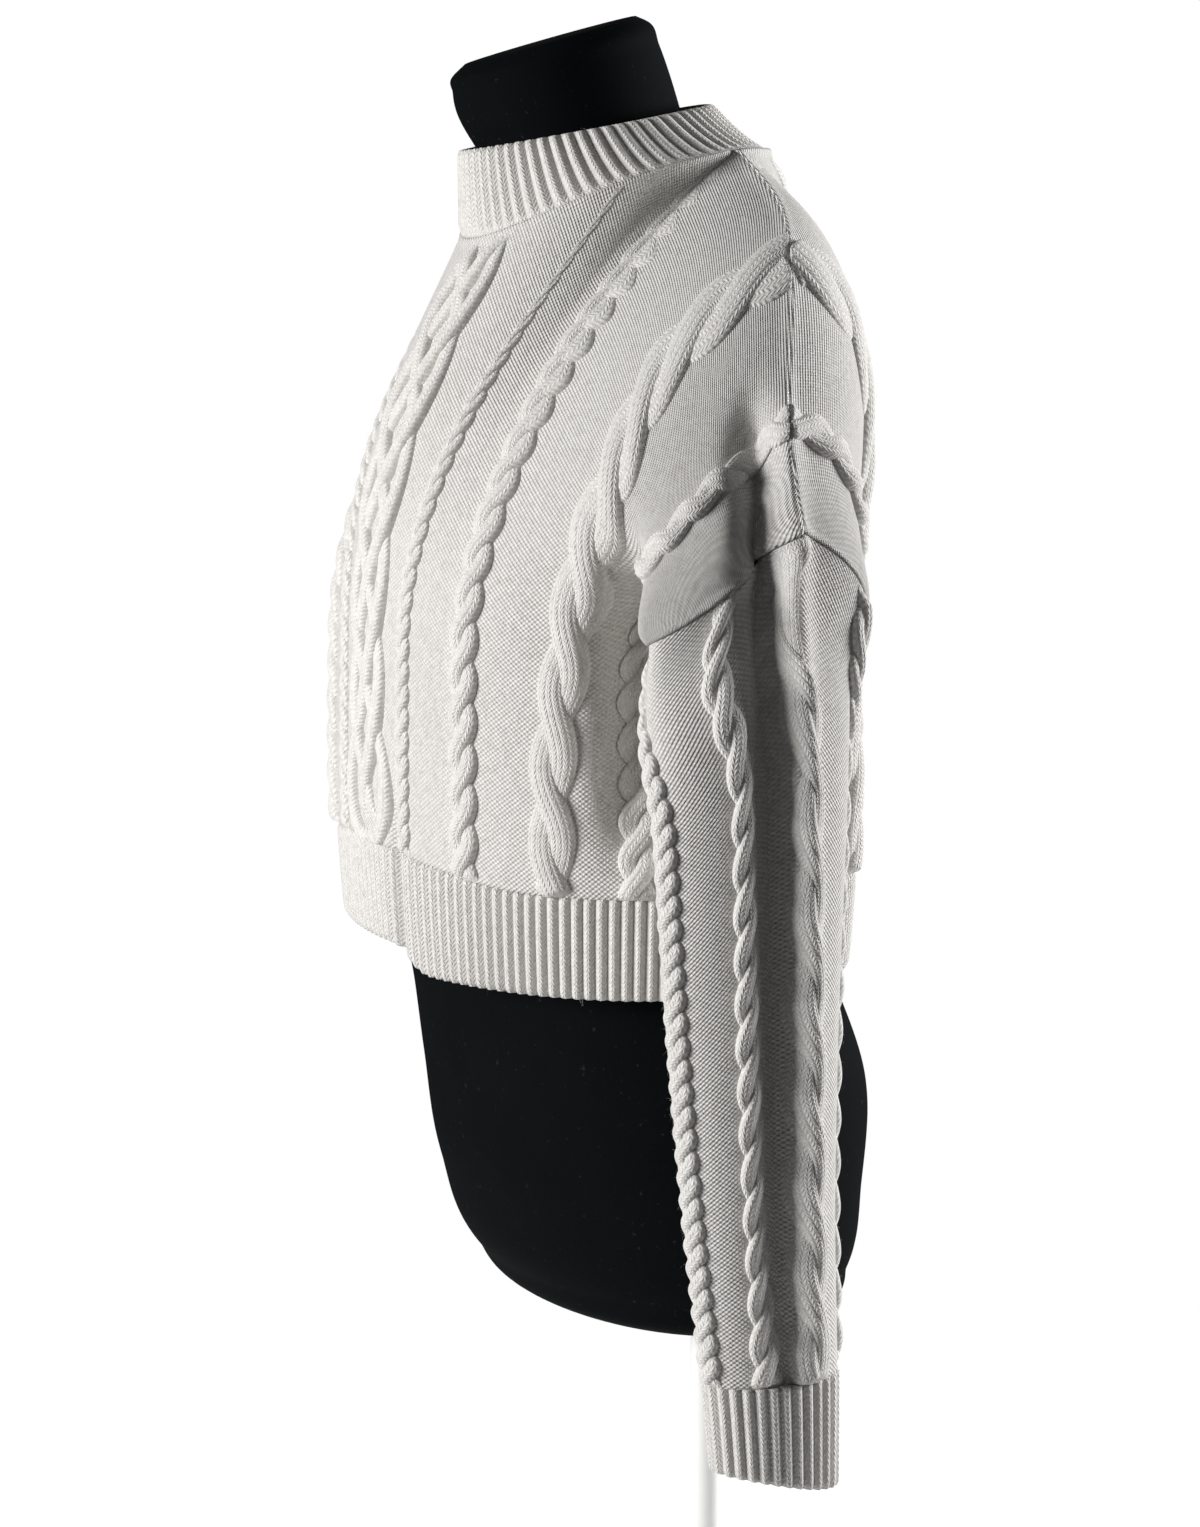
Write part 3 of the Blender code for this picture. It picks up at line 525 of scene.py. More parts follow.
# Depth of the narrow fold in the front beside its middle: depth exp(-(u/width)^2).
def tuckDepth(u):
    return frontTuck["depth"]*np.exp(-((u - frontTuck["share"])/frontTuck["width"])**2)


# How far each point of a panel is pushed in: the long fold on the drop shoulder, a hollow at each
# side under the arm, and the narrow fold, which ends above the welt.
def bodyFolds(points, u, v):
    beside = np.abs(u) - sideHollow["share"]
    width = np.where(beside < 0, sideHollow["frontWidth"], sideHollow["backWidth"])
    hollow = riseAndFall(v, sideHollow["depth"]*np.exp(-(beside/width)**2), *sideHollow["rows"])
    tuck = tuckDepth(u)*smoothStep(frontTuck["lastRow"], 0.0, v)*(points[..., 1] < 0)
    return hangingFold(points) + hollow + tuck


# Unit normals of a grid of points, averaged over their neighbours for a number of passes.
def gridNormals(points, closed, flip, passes=24):
    atSides, mode = ((0, 0), (1, 1), (0, 0)), "wrap" if closed else "edge"
    padded = np.pad(points, atSides, mode=mode)
    alongRow = padded[:, 2:] - padded[:, :-2]
    normal = unit(np.cross(alongRow, np.gradient(points, axis=0))*(-1 if flip else 1))
    for _ in range(passes):
        padded = np.pad(normal, ((1, 1), (0, 0), (0, 0)), mode="edge")
        normal = padded[:-2] + 2*normal + padded[2:]
        padded = np.pad(normal, atSides, mode=mode)
        normal = unit(padded[:, :-2] + 2*normal + padded[:, 2:])
    return normal


# Away from the middle of the arm, and down at the underarm where the cloth turns over.
def armholeNormal(points):
    outward = points*np.array([0, 1, 1]) - np.array(sleeve["middle"])
    outward[..., 0] += np.abs(points[..., 0])
    armpit = body["armpitHeight"]
    down, until = sleeve["underarm"]
    outward[..., 2] = -down*(1 - smoothStep(armpit, armpit + until, points[..., 2]))
    outward[..., 0] *= np.sign(points[..., 0])
    return unit(outward)


# Numbers of a grid's points from start on. closed puts the first column at the end again.
def gridPlaces(grid, start=0, closed=False):
    rows, columns = grid.shape[:2]
    place = start + np.arange(rows*columns).reshape(rows, columns)
    return np.concatenate([place, place[:, :1]], axis=1) if closed else place


# The four corners of each cell of a grid, in order round the cell.
def cellCorners(grid):
    return np.stack([grid[:-1, :-1], grid[:-1, 1:], grid[1:, 1:], grid[1:, :-1]], axis=-1)


# Triangles between a fine edge and a coarse edge that has every step-th of its places.
def rimTriangles(fine, coarse, turned):
    step = cloth["innerStep"]
    near = coarse[(np.arange(len(fine) - 1) + step//2)//step]
    first = np.stack([fine[:-1], fine[1:], near], axis=1)
    middle = fine[np.arange(len(coarse) - 1)*step + step//2]
    second = np.stack([middle, coarse[1:], coarse[:-1]], axis=1)
    triangles = np.concatenate([first, second])
    return triangles[:, ::-1] if turned else triangles


# A new object in the scene, at the origin.
def addObject(name, data):
    made = bpy.data.objects.new(name, data)
    bpy.context.collection.objects.link(made)
    return made


# A mesh from groups of faces, each an array with one row of corners for a face. maps has the place
# in the stitch map of every corner, and values an attribute's value at every point.
def meshFromFaces(name, points, groups, maps=None, **values):
    mesh = bpy.data.meshes.new(name)
    corners = np.concatenate([group.ravel() for group in groups])
    sides = np.concatenate([np.full(len(group), group.shape[1]) for group in groups])
    mesh.vertices.add(len(points))
    mesh.vertices.foreach_set("co", points.astype(np.float32).ravel())
    mesh.loops.add(len(corners))
    mesh.loops.foreach_set("vertex_index", corners.astype(np.int32))
    mesh.polygons.add(len(sides))
    starts = np.concatenate([[0], np.cumsum(sides)[:-1]])
    mesh.polygons.foreach_set("loop_start", starts.astype(np.int32))
    mesh.update(calc_edges=True)
    if maps is not None:
        layer = mesh.uv_layers.new(name="stitches")
        layer.data.foreach_set("uv", maps.astype(np.float32).ravel())
    for key, value in values.items():
        attribute = mesh.attributes.new(key, "FLOAT", "POINT")
        attribute.data.foreach_set("value", value.astype(np.float32))
    mesh.validate()
    mesh.shade_smooth()
    return addObject(name, mesh)


# A closed wall: the fine outer grid, the inside at every step-th point, and rims between them.
# closed joins the last column to the first. The stitch map has one more column there, not joined.
def clothWall(name, outer, inner, knit, closed, flip):
    step = cloth["innerStep"]
    inside = inner[::step, ::step]
    stitches = np.stack([knit["wale"], knit["course"]], axis=-1)
    insideStitches = stitches[::step, ::step]

    def facesBetween(fine, coarse):
        faces = [cellCorners(fine).reshape(-1, 4), cellCorners(coarse).reshape(-1, 4)[:, ::-1],
                 rimTriangles(fine[0], coarse[0], True), rimTriangles(fine[-1], coarse[-1], False)]
        if not closed:
            faces += [rimTriangles(fine[:, 0], coarse[:, 0], False),
                      rimTriangles(fine[:, -1], coarse[:, -1], True)]
        return [each[:, ::-1] for each in faces] if flip else faces

    groups = facesBetween(gridPlaces(outer, 0, closed),
                          gridPlaces(inside, outer.size//3, closed))
    spots = facesBetween(gridPlaces(stitches), gridPlaces(insideStitches, stitches.size//2))
    points = np.concatenate([outer.reshape(-1, 3), inside.reshape(-1, 3)])
    stitches = np.concatenate([stitches.reshape(-1, 2), insideStitches.reshape(-1, 2)])
    maps = stitches[np.concatenate([spot.ravel() for spot in spots])]
    # raised says knit or purl; the other value is painted shade in the grooves of ribs, 0 where not
    # given.
    raised, shade = (np.append(knit.get(key, 0*knit["wale"])[:, :outer.shape[1]],
                               np.zeros(inside.size//3)) for key in ("raised", "shade"))
    return meshFromFaces(name, points + garmentMove, groups, maps, raised=raised, shade=shade)


# Values of a grid over 0 to 1 both ways, at any places, blended between the four nearest.
def sample(grid, across, along):
    rows, columns = grid.shape[0] - 1, grid.shape[1] - 1
    x = np.clip(across, 0, 1)*columns
    y = np.clip(along, 0, 1)*rows
    i = np.minimum(x.astype(int), columns - 1)
    j = np.minimum(y.astype(int), rows - 1)
    x, y = (x - i)[..., None], (y - j)[..., None]
    return ((grid[j, i]*(1 - x) + grid[j, i + 1]*x)*(1 - y)
            + (grid[j + 1, i]*(1 - x) + grid[j + 1, i + 1]*x)*y)


# Of two twisted strands the one that runs towards its hand is on top.
def strandOver(turn, hand):
    return 0.5 - 0.5*np.sin(turn)*hand


# In a chain of rings the strands that draw together on the way down lie over those that part, and
# where a pair crosses, one is a little higher.
def ringOver(turn, hand):
    return 0.5 - 0.36*np.sin(2*turn) - 0.20*np.sin(turn)*hand


# One strand laid on a surface. It follows a middle line by its true length s, and swings to
# swing*cos(phase). Its section is a flattened arch, square to its path, high where it passes over
# and low where it dips under, with a shallow line between its wales. surface gives points from
# across and along, normals, and the place of the middle line.
def strandGrid(surface, size, phase, swing, fade):
    line = np.linspace(0, 1, 600)  # rows at which the middle line is measured
    middle = surface["middle"](line, size)
    length = runLength(surface["point"](middle, line))
    nudge = 1e-3
    beside = surface["point"](middle + nudge, line) - surface["point"](middle - nudge, line)
    metres = np.linalg.norm(beside, axis=1)/(2*nudge)
    count = int(length[-1]/strandShape["step"])
    s = np.linspace(0, length[-1], count + 1)
    turn, swings = phase(s), swing(s)
    grown = ((1 + size["grow"]*smoothStep(*strandShape["growth"], s/length[-1]))
             * (1 - size["narrow"]*smoothStep(length[-1] - narrowLength, length[-1], s)))
    offset = swings*grown*np.cos(turn)
    slope = np.gradient(offset, s)
    over = surface.get("over", strandOver)(turn, size["hand"])
    tall = size["height"]*(strandShape["under"] + (1 - strandShape["under"])*over)
    t = np.linspace(-1, 1, strandShape["sides"][size["wales"]] + 1)
    a = 0.45*t + 0.55*np.sin(np.pi*t/2)  # closer together at the strand's sides
    across = a*size["strand"]/2*grown[:, None]
    square = 1/np.sqrt(1 + slope**2)
    x = offset[:, None] + across*square[:, None]
    along = s[:, None] - across*(slope*square)[:, None]
    v = np.interp(along, length, line)
    u = np.interp(v, line, middle) + x/np.interp(v, line, metres)
    arch = (1 - np.abs(a)**strandShape["roundness"])**(1/strandShape["roundness"])
    between = (0.5 + 0.5*np.cos(np.pi*size["wales"]*(a + 1)))**2
    lift = (tall*fade(s, length[-1]))[:, None]*(1 - strandShape["ridge"]*between)
    sink = strandShape["sink"]
    rise = -sink + (lift + sink)*arch
    points = surface["point"](u, v) + surface["normal"](u, v)*rise[..., None]
    course = runLength(np.stack([s, offset], axis=-1))[:, None]/cloth["courseHeight"]
    return points, np.stack(np.broadcast_arrays(size["wales"]*(a + 1)/2, course), axis=-1)


# How a strand's height rises from its start and falls to its end.
def endFade(rise, fall):
    return lambda s, end: smoothStep(*rise, s)*smoothStep(end, end - fall, s)


# All strands of a set in one mesh.
def strandMesh(name, strands, flip):
    faces, start = [], 0
    for grid, _ in strands:
        faces.append(cellCorners(gridPlaces(grid, start)).reshape(-1, 4))
        start += grid.size//3
    faces = np.concatenate(faces)[:, ::-1] if flip else np.concatenate(faces)
    points = np.concatenate([grid.reshape(-1, 3) for grid, _ in strands])
    stitches = np.concatenate([each.reshape(-1, 2) for _, each in strands])
    # The strands are knit and get no painted shade.
    ones = np.ones(len(points))
    return meshFromFaces(name, points + garmentMove, [faces], stitches[faces.ravel()],
                         raised=ones, shade=0*ones)


# Fibres on a list of surfaces, each a grid of points and its normals. Each fibre is a narrow ribbon
# from a random place: it runs along a random side s, rises by a sine of its share t and curls by the
# square of t towards the third axis.
def fuzzMesh(name, surfaces, seed):
    random = np.random.default_rng(seed)
    roots, ups = [], []
    for points, normals in surfaces:
        across = np.linalg.norm(np.diff(points, axis=1)[:-1], axis=-1)
        along = np.linalg.norm(np.diff(points, axis=0)[:, :-1], axis=-1)
        count = int(np.sum(across*along)*fuzz["perArea"])
        share = np.cumsum((across*along).ravel())
        place = np.searchsorted(share, random.uniform(0, share[-1], count))
        row, column = np.unravel_index(np.minimum(place, share.size - 1), across.shape)
        part = random.uniform(0, 1, (count, 1))
        roots.append(points[row, column]*part + points[row + 1, column + 1]*(1 - part))
        ups.append(normals[row, column])
    root, up = np.concatenate(roots), np.concatenate(ups)
    side = unit(np.cross(up, random.normal(size=root.shape)))
    third = np.cross(up, side)
    length = random.uniform(fuzz["shortest"], fuzz["longest"], (len(root), 1))
    curl = random.uniform(-fuzz["curl"], fuzz["curl"], (len(root), 1))
    rise = random.uniform(fuzz["leastRise"], 1.0, (len(root), 1))*fuzz["rise"]
    t = np.linspace(0, 1, fuzz["pieces"] + 1)
    path = (root[:, None] + side[:, None]*(length*t)[..., None]
            + up[:, None]*(length*rise*np.sin(fuzz["arc"]*np.pi*t))[..., None]
            + third[:, None]*(length*curl*t*t)[..., None])
    half = third[:, None]*(fuzz["width"]/2*(1 - fuzz["taper"]*t))[:, None]
    points = np.stack([path - half, path + half], axis=2)
    place = np.arange(points[..., 0].size).reshape(points.shape[:3])
    faces = np.stack([place[:, :-1, 0], place[:, 1:, 0], place[:, 1:, 1], place[:, :-1, 1]], -1)
    return meshFromFaces(name, points.reshape(-1, 3) + garmentMove, [faces.reshape(-1, 4)])


# One output socket of a material. Arithmetic on it adds Math nodes.
class Signal:
    def __init__(self, finish, socket):
        self.finish = finish
        self.socket = socket

    def math(self, operation, *others):
        inputs = dict(enumerate((self, *others)))
        return self.finish.node("Math", {"operation": operation}, inputs)

    def __add__(self, other):
        return self.math("ADD", other)

    __radd__ = __add__

    def __sub__(self, other):
        return self.math("SUBTRACT", other)

    def __rsub__(self, other):
        return self.finish.node("Math", {"operation": "SUBTRACT"}, {0: other, 1: self})

    def __mul__(self, other):
        return self.math("MULTIPLY", other)

    __rmul__ = __mul__

    def __pow__(self, other):
        return self.math("POWER", other)


# One material with its Principled shader. node makes any node from its type, its settings and
# what its sockets get, and gives back one of its outputs.
class Finish:
    def __init__(self, name, **constants):
        self.material = bpy.data.materials.new(name)
        self.material.use_nodes = True
        self.tree = self.material.node_tree
        self.shader = self.tree.nodes["Principled BSDF"]
        for socket, value in constants.items():
            self.shader.inputs[socket.replace("_", " ")].default_value = value

    def node(self, kind, settings, inputs, output=0):
        made = self.tree.nodes.new("ShaderNode" + kind)
        for name, value in settings.items():
            setattr(made, name, value)
        for place, value in inputs.items():
            self.feed(made.inputs[place], value)
        return Signal(self, made.outputs[output])

    def feed(self, socket, value):
        if isinstance(value, Signal):
            self.tree.links.new(value.socket, socket)
        else:
            socket.default_value = value

    def give(self, **inputs):
        for name, value in inputs.items():
            self.feed(self.shader.inputs[name.replace("_", " ")], value)

    def noise(self, vector, scale, detail=2.0, roughness=0.5):
        return self.node("TexNoise", {}, {"Vector": vector, "Scale": scale, "Detail": detail,
                                          "Roughness": roughness}, "Fac")

    def mixColours(self, share, first, second):
        return self.node("Mix", {"data_type": "RGBA"}, {0: share, 6: first, 7: second}, 2)

    def objectPlace(self):
        return self.node("TexCoord", {}, {}, "Object")

    def bump(self, height, strength, distance):
        return self.node("Bump", {}, {"Height": height, "Strength": strength,
                                      "Distance": distance})


woolColours = {
    "high": (0.80, 0.785, 0.755, 1.0),  # yarn on a ridge
    # painted shade: yarn down in a groove gets this darker colour
    "low": (0.56, 0.535, 0.505, 1.0),  # yarn down in a groove
    # painted shade: the darker colour between the stitches
    "stitchGapShade": (0.36, 0.34, 0.32, 1.0),  # between the stitches
    "dark": (0.50, 0.475, 0.45, 1.0),  # darker fibres in the heather
}


# Knit stitches are V legs: a wave along the course that leans up towards both sides of each wale,
# with a groove at the wale's sides. Purl is a wave along the course times a wave across the wale,
# which gives staggered bumps. The raised attribute says which of them shows.
# The colour is darkened between the stitches and in the grooves of ribs: painted shade.
def makeWool():
    wool = Finish("wool_knit", Roughness=0.92, Sheen_Weight=0.35, Sheen_Roughness=0.45,
                  Specular_IOR_Level=0.25)
    place = wool.node("UVMap", {"uv_map": "stitches"}, {})
    wale = wool.node("SeparateXYZ", {}, {0: place}, "X")
    course = wool.node("SeparateXYZ", {}, {0: place}, "Y")
    raised = wool.node("Attribute", {"attribute_name": "raised"}, {}, "Fac")
    # painted shade in the grooves of the ribs, from the ribbed pieces
    shade = wool.node("Attribute", {"attribute_name": "shade"}, {}, "Fac")
    solid = wool.objectPlace()

    side = (wale.math("FRACT") - 0.5).math("ABSOLUTE")*2  # 0 mid wale, 1 at its sides
    leg = 1 - ((side - 0.5)*2)**2.0
    knitWave = ((course - side*0.9)*(2*math.pi)).math("SINE")
    knit = (knitWave*0.5 + 0.5)*leg
    purl = (wale*(2*math.pi)).math("COSINE")*(course*(2*math.pi)).math("SINE")*0.5 + 0.5
    stitch = knit*raised + purl*(1 - raised)

    fibre = wool.noise(solid, 900.0, 3.0, 0.65)
    mottle = wool.noise(solid, 260.0, 3.0, 0.6)
    cloud = wool.noise(solid, 9.0)
    # Painted shade: the yarn goes towards the groove colour in the grooves of the ribs.
    base = wool.mixColours(shade*0.75, woolColours["high"], woolColours["low"])
    # Painted shade: darker where the stitch pattern dips between the stitches.
    gapShade = (1 - stitch)*(0.52 - raised*0.20)
    base = wool.mixColours(gapShade, base, woolColours["stitchGapShade"])
    fleck = (fibre - 0.5)*1.5 + (mottle - 0.5)*1.9 + (cloud - 0.5)*0.3 + 0.16
    base = wool.mixColours(fleck.math("MAXIMUM", 0.0), base, woolColours["dark"])
    wool.give(Base_Color=base)
    height = stitch*(0.8 - raised*0.45) + fibre*0.45
    wool.give(Normal=wool.bump(height, 0.9, 0.0013))
    return wool.material


# Single fibres: paler than the yarn and a little uneven in colour.
def makeFibre():
    single = Finish("wool_fibre", Roughness=0.9, Specular_IOR_Level=0.2)
    tint = single.noise(single.objectPlace(), 120.0)
    single.give(Base_Color=single.mixColours(tint, (0.66, 0.65, 0.62, 1.0), woolColours["high"]))
    return single.material


# Fine jersey: narrow wales and courses, with a little lint and a soft sheen.
def makeJersey():
    jersey = Finish("form_jersey", Roughness=0.85, Sheen_Weight=0.004, Sheen_Roughness=0.35,
                    Specular_IOR_Level=0.03)
    solid = jersey.objectPlace()
    upright = jersey.node("Mapping", {}, {"Vector": solid, "Scale": (1.0, 1.0, 0.5)})
    grain = jersey.noise(upright, 1400.0, 2.0, 0.6)
    cloud = jersey.noise(solid, 14.0, 3.0, 0.55)
    lint = jersey.noise(solid, 260.0)
    colour = jersey.mixColours(cloud, (0.0018, 0.0026, 0.0030, 1.0), (0.0038, 0.0048, 0.0054, 1.0))
    specks = ((lint - 0.68)*6.0).math("MAXIMUM", 0.0)
    colour = jersey.mixColours(specks, colour, (0.022, 0.025, 0.027, 1.0))
    jersey.give(Base_Color=colour, Normal=jersey.bump(grain, 0.35, 0.0004))
    return jersey.material


# Satin paint with a faint orange peel.
def makeStandPaint():
    paint = Finish("stand_paint", Roughness=0.38, Coat_Weight=0.1)
    solid = paint.objectPlace()
    peel = paint.noise(solid, 420.0)
    wear = paint.noise(solid, 22.0, 4.0, 0.6)
    colour = paint.mixColours(wear, (0.74, 0.74, 0.73, 1.0), (0.80, 0.80, 0.79, 1.0))
    paint.give(Base_Color=colour, Normal=paint.bump(peel, 0.08, 0.0003))
    return paint.material


wool = makeWool()
fibre = makeFibre()
jersey = makeJersey()
standPaint = makeStandPaint()
print("materials made")


# Gives a piece its material and the body it rides on, and hides the CAD node it stands for.
def settle(piece, material, node):
    piece.data.materials.append(material)
    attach(piece, "root")
    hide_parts(node)


# Puts loose fibres on a cloth piece and its cables, and settles them all.
def finishCloth(piece, node, flat, surfaces, seed, *cables):
    loose = fuzzMesh(piece.name + "_fuzz", surfaces, seed)
    for each in (piece, *cables, loose):
        settle(each, fibre if each is loose else wool, node)


# Both panels' base points and normals, with one normal for both where they are sewn together.
def bodyGrids():
    across = np.linspace(-1, 1, body["columns"] + 1)
    rows = np.linspace(0, 1, body["rows"] + 1)
    grids = {}
    for side in (-1, 1):
        u, v = np.meshgrid(across, rows)
        points = bodyPoint(u, v, side)
        grids[side] = [u, v, points, gridNormals(points, False, side > 0)]
    front, back = grids[-1][3], grids[1][3]
    armpit = body["armpitRow"]
    aboveArm = smoothStep(armpit - body["armpitBlend"], armpit, rows)[:, None]
    for edge in (0, -1):
        sewn = unit(front[:, edge] + back[:, edge])
        for side in (-1, 1):
            u, _, points, normals = grids[side]
            target = unit(sewn*(1 - aboveArm) + armholeNormal(points[:, edge])*aboveArm)
            near = smoothStep(body["sideBlend"], 1.0, u[0] if edge else -u[0])[None, :, None]
            normals[:] = unit(normals*(1 - near) + target[:, None]*near)
    atSeam = (np.abs(across) > neck["share"])[:, None]
    sewn = unit(front[-1] + back[-1])
    near = smoothStep(body["topBlend"], 1.0, rows)[:, None, None]
    for normals in (front, back):
        atNeck = unit(normals[-1] + np.array([0, 0, body["neckLean"]]))
        target = np.where(atSeam, sewn, atNeck)
        normals[:] = unit(normals*(1 - near) + target*near)
    return grids


# True lengths across from the middle column and along from the first row.
def metricMap(points, middle):
    across = np.linalg.norm(np.diff(points, axis=1), axis=2)
    across = np.concatenate([0*across[:, :1], np.cumsum(across, axis=1)], axis=1)
    along = np.linalg.norm(np.diff(points, axis=0), axis=2)
    along = np.concatenate([0*along[:1], np.cumsum(along, axis=0)])
    return across - across[:, middle:middle + 1], along


# A bead along the top edge and the armholes, where the pieces are sewn.
def seamRoll(u, v):
    along = body["length"]*(1 - v)
    beside = body["width"]/2*(1 - np.abs(u)) + body["noRoll"]*(v < body["armpitRow"])
    near = np.minimum(along, beside)
    return body["seamRoll"]*np.exp(-((near - body["rollPlace"])/body["rollWidth"])**2)


# The chain of rings. Each pair crosses where the other is widest. Below its widest line the lowest
# ring closes in a U, and the inner pair draws in and ends under it.
def latticeStrands(surface):
    size = {"share": 0.0, "bend": straight, "strand": lattice["strand"],
            "height": lattice["height"], "wales": lattice["wales"], "hand": 1, "grow": 0,
            "narrow": 0}
    surface = dict(surface, over=ringOver)
    low, gap, start = lattice["closing"], lattice["cableEnd"], lattice["innerStart"]

    def outer(s):
        closing = 1 - (np.clip(low - s, 0, low)/low)**lattice["roundness"]
        wider = 1 + lattice["lowestWider"]*smoothStep(*lattice["widerUntil"], s)
        return lattice["swing"]*wider*np.sqrt(np.clip(closing, 0, 1))

    def inner(s):
        return lattice["swing"]*(start + (1 - start)*smoothStep(low, low + gap, s))

    strands = []
    for pair, swing, lowest, rise in ((0.0, outer, 0, lattice["outerRise"]),
                                      (0.5, inner, -1, lattice["innerRise"])):
        for half in (0, np.pi):
            phase = lambda s: np.pi*(np.maximum(s - low, lowest)/lattice["crossing"] + pair) + half
            strands.append(strandGrid(surface, size, phase, swing, endFade(rise, gap)))
    return strands


# The strands of a list of cables, mirrored on the other half where both is true.
def cableStrands(surface, cables, both, fade):
    strands = []
    for cable in cables:
        for mirror in ((1, -1) if both else (1,)):
            size = dict(zip(cableNames, cable))
            size["share"] *= mirror
            size["hand"] *= mirror
            size["narrow"] = neckNarrowing*size["flatten"]*(size["grow"] == 0)
            for half in (0, np.pi):
                phase = lambda s: np.pi*(s/size["crossing"] + size["start"]) + half
                swing = lambda s: size["swing"] + 0*s
                flat = lambda s, end: smoothStep(end - flattenFrom, end - flattenTo, s)
                height = lambda s, end: fade(s, end)*(1 - size["flatten"]*flat(s, end))
                strands.append(strandGrid(surface, size, phase, swing, height))
    return strands


# What cables are laid on: a piece's points pushed in by its folds, its normals from their grid,
# where across gives the grid's column, and the middle lines of the cables.
def cableSurface(flatPoint, across, normals, folds, middle):
    def pointAt(u, v):
        flat = flatPoint(u, v)
        return flat - sample(normals, across(u), v)*folds(flat, u, v)[..., None]

    return {"point": pointAt, "middle": middle,
            "normal": lambda u, v: unit(sample(normals, across(u), v))}


# A panel or sleeve as a wall, with its strands on it.
def cabledPiece(name, node, flat, outer, sunk, normals, knit, strands, closed, flip, seed):
    piece = clothWall(name, outer, sunk - normals*cloth["wall"], knit, closed, flip)
    cables = strandMesh(name + "_cables", strands, flip)
    surfaces = [(sunk, normals)]
    surfaces += [(grid, gridNormals(grid, False, flip, 2)) for grid, _ in strands]
    finishCloth(piece, node, flat, surfaces, seed, cables)
    print(name, "has", len(piece.data.polygons), "faces and", len(cables.data.polygons))


# The panels are pushed in by their folds, with a bead at their seams.
def buildBody():
    grids = bodyGrids()
    middle = lambda v, size: (size["share"] + patternShift
                              + np.sign(size["share"])*riseAndFall(v, *size["bend"]))
    fade = endFade(body["cableRise"], body["cableEnd"])
    for side, name, node in ((-1, "sweater_front", "front_panel"),
                             (1, "sweater_back", "back_panel")):
        u, v, points, normals = grids[side]
        across, along = metricMap(points, body["columns"]//2)
        knit = {"wale": across/cloth["waleWidth"], "course": along/cloth["courseHeight"]}
        sunk = points - normals*bodyFolds(points, u, v)[..., None]
        surface = cableSurface(lambda u, v: bodyPoint(u, v, side), lambda u: (u + 1)/2, normals,
                               bodyFolds, middle)
        strands = latticeStrands(surface) + cableStrands(surface, bodyCables, True, fade)
        cabledPiece(name, node, (body["width"], body["wholeLength"]),
                    sunk + normals*seamRoll(u, v)[..., None], sunk, normals, knit, strands,
                    False, side > 0, 3 + side)


# Round ridges with narrow grooves: the height is a root of the sine across each rib.
# The last value darkens the grooves between the ribs: painted shade.
def ribKnit(share, along, size):
    phase = share*size["ribs"]
    ridge = (0.5 - 0.5*np.cos(2*np.pi*phase))**0.55
    return {"height": size["ribHeight"]*(1.7*ridge - 0.75), "wale": phase*2,
            "course": along/cloth["courseHeight"], "raised": np.ones_like(share),
            "shade": np.clip(1 - 1.9*ridge, 0, 1)}


# Level normals of a ribbed piece.
def levelNormals(points, closed, flip):
    return unit(gridNormals(points, closed, flip, cloth["ribSoftness"])*np.array([1, 1, 0]))


# A grid for a ribbed piece, across from first to 1 and up from 0 to 1.
def ribGrid(size, first):
    return np.meshgrid(np.linspace(first, 1, size["ribs"]*cloth["ribPoints"] + 1),
                       np.linspace(0, 1, cloth["ribRows"] + 1))


# A ribbed wall: relief moves its points out.
def ribbedPiece(name, node, flat, points, normals, knit, relief, closed, flip, seed):
    outer = points + normals*relief[..., None]
    piece = clothWall(name, outer, points - normals*cloth["ribWall"], knit, closed, flip)
    finishCloth(piece, node, flat, [(outer, normals)], seed)
    print(name, "made")


# Both edges of a welt are rounded back, and its normals turn out to the side at its ends.
def buildWelts():
    u, v = ribGrid(welt, -1)
    for side, name, node in ((-1, "hem_rib_front", "front_hem_rib"),
                             (1, "hem_rib_back", "back_hem_rib")):
        height = hemEdge(u, side)*(1 - v) + weltSeam(np.abs(u), side)*v
        points = torsoPoint(np.abs(u), height, side)
        points[..., 0] *= np.where(u < 0, -1, 1)
        outward = point3(np.sign(u), 0, 0)
        near = smoothStep(welt["turnShare"], 1.0, np.abs(u))[..., None]
        normals = unit(levelNormals(points, False, side > 0)*(1 - near) + outward*near)
        if side < 0:
            points = points - normals*tuckDepth(u)[..., None]
        knit = ribKnit((u + 1)/2, height, welt)
        back, start = welt["edge"]
        rounded = np.minimum(smoothStep(0, 1 - start, v), smoothStep(1.0, start, v))
        relief = knit["height"] - back*(1 - rounded)
        ribbedPiece(name, node, (body["width"]*body["weltShare"], body["weltHeight"]), points,
                    normals, knit, relief, False, side > 0, 11 + side)


# A ribbed tube with its free edge rounded back. rise is the part of the ribs' height at each row.
def ribbedTube(name, node, size, flat, pointOf, rise, flip, seed):
    u, v = ribGrid(size, 0)
    knit = ribKnit(u, v*size["length"], size)
    points = pointOf(u, v)[:, :-1]
    back, start = size["edge"]
    relief = knit["height"]*rise(v) - back*(1 - smoothStep(1.0, start, v))
    ribbedPiece(name, node, flat, points, levelNormals(points, True, flip), knit,
                relief[:, :-1], True, flip, seed)


# The neckband, whose ribs rise over the first part of its height.
def buildCollar():
    ribbedTube("neck_rib", "neck_band", collar, (collar["girth"], collar["length"]), collarPoint,
               lambda v: smoothStep(0, collar["ribsRise"], v), False, 14)


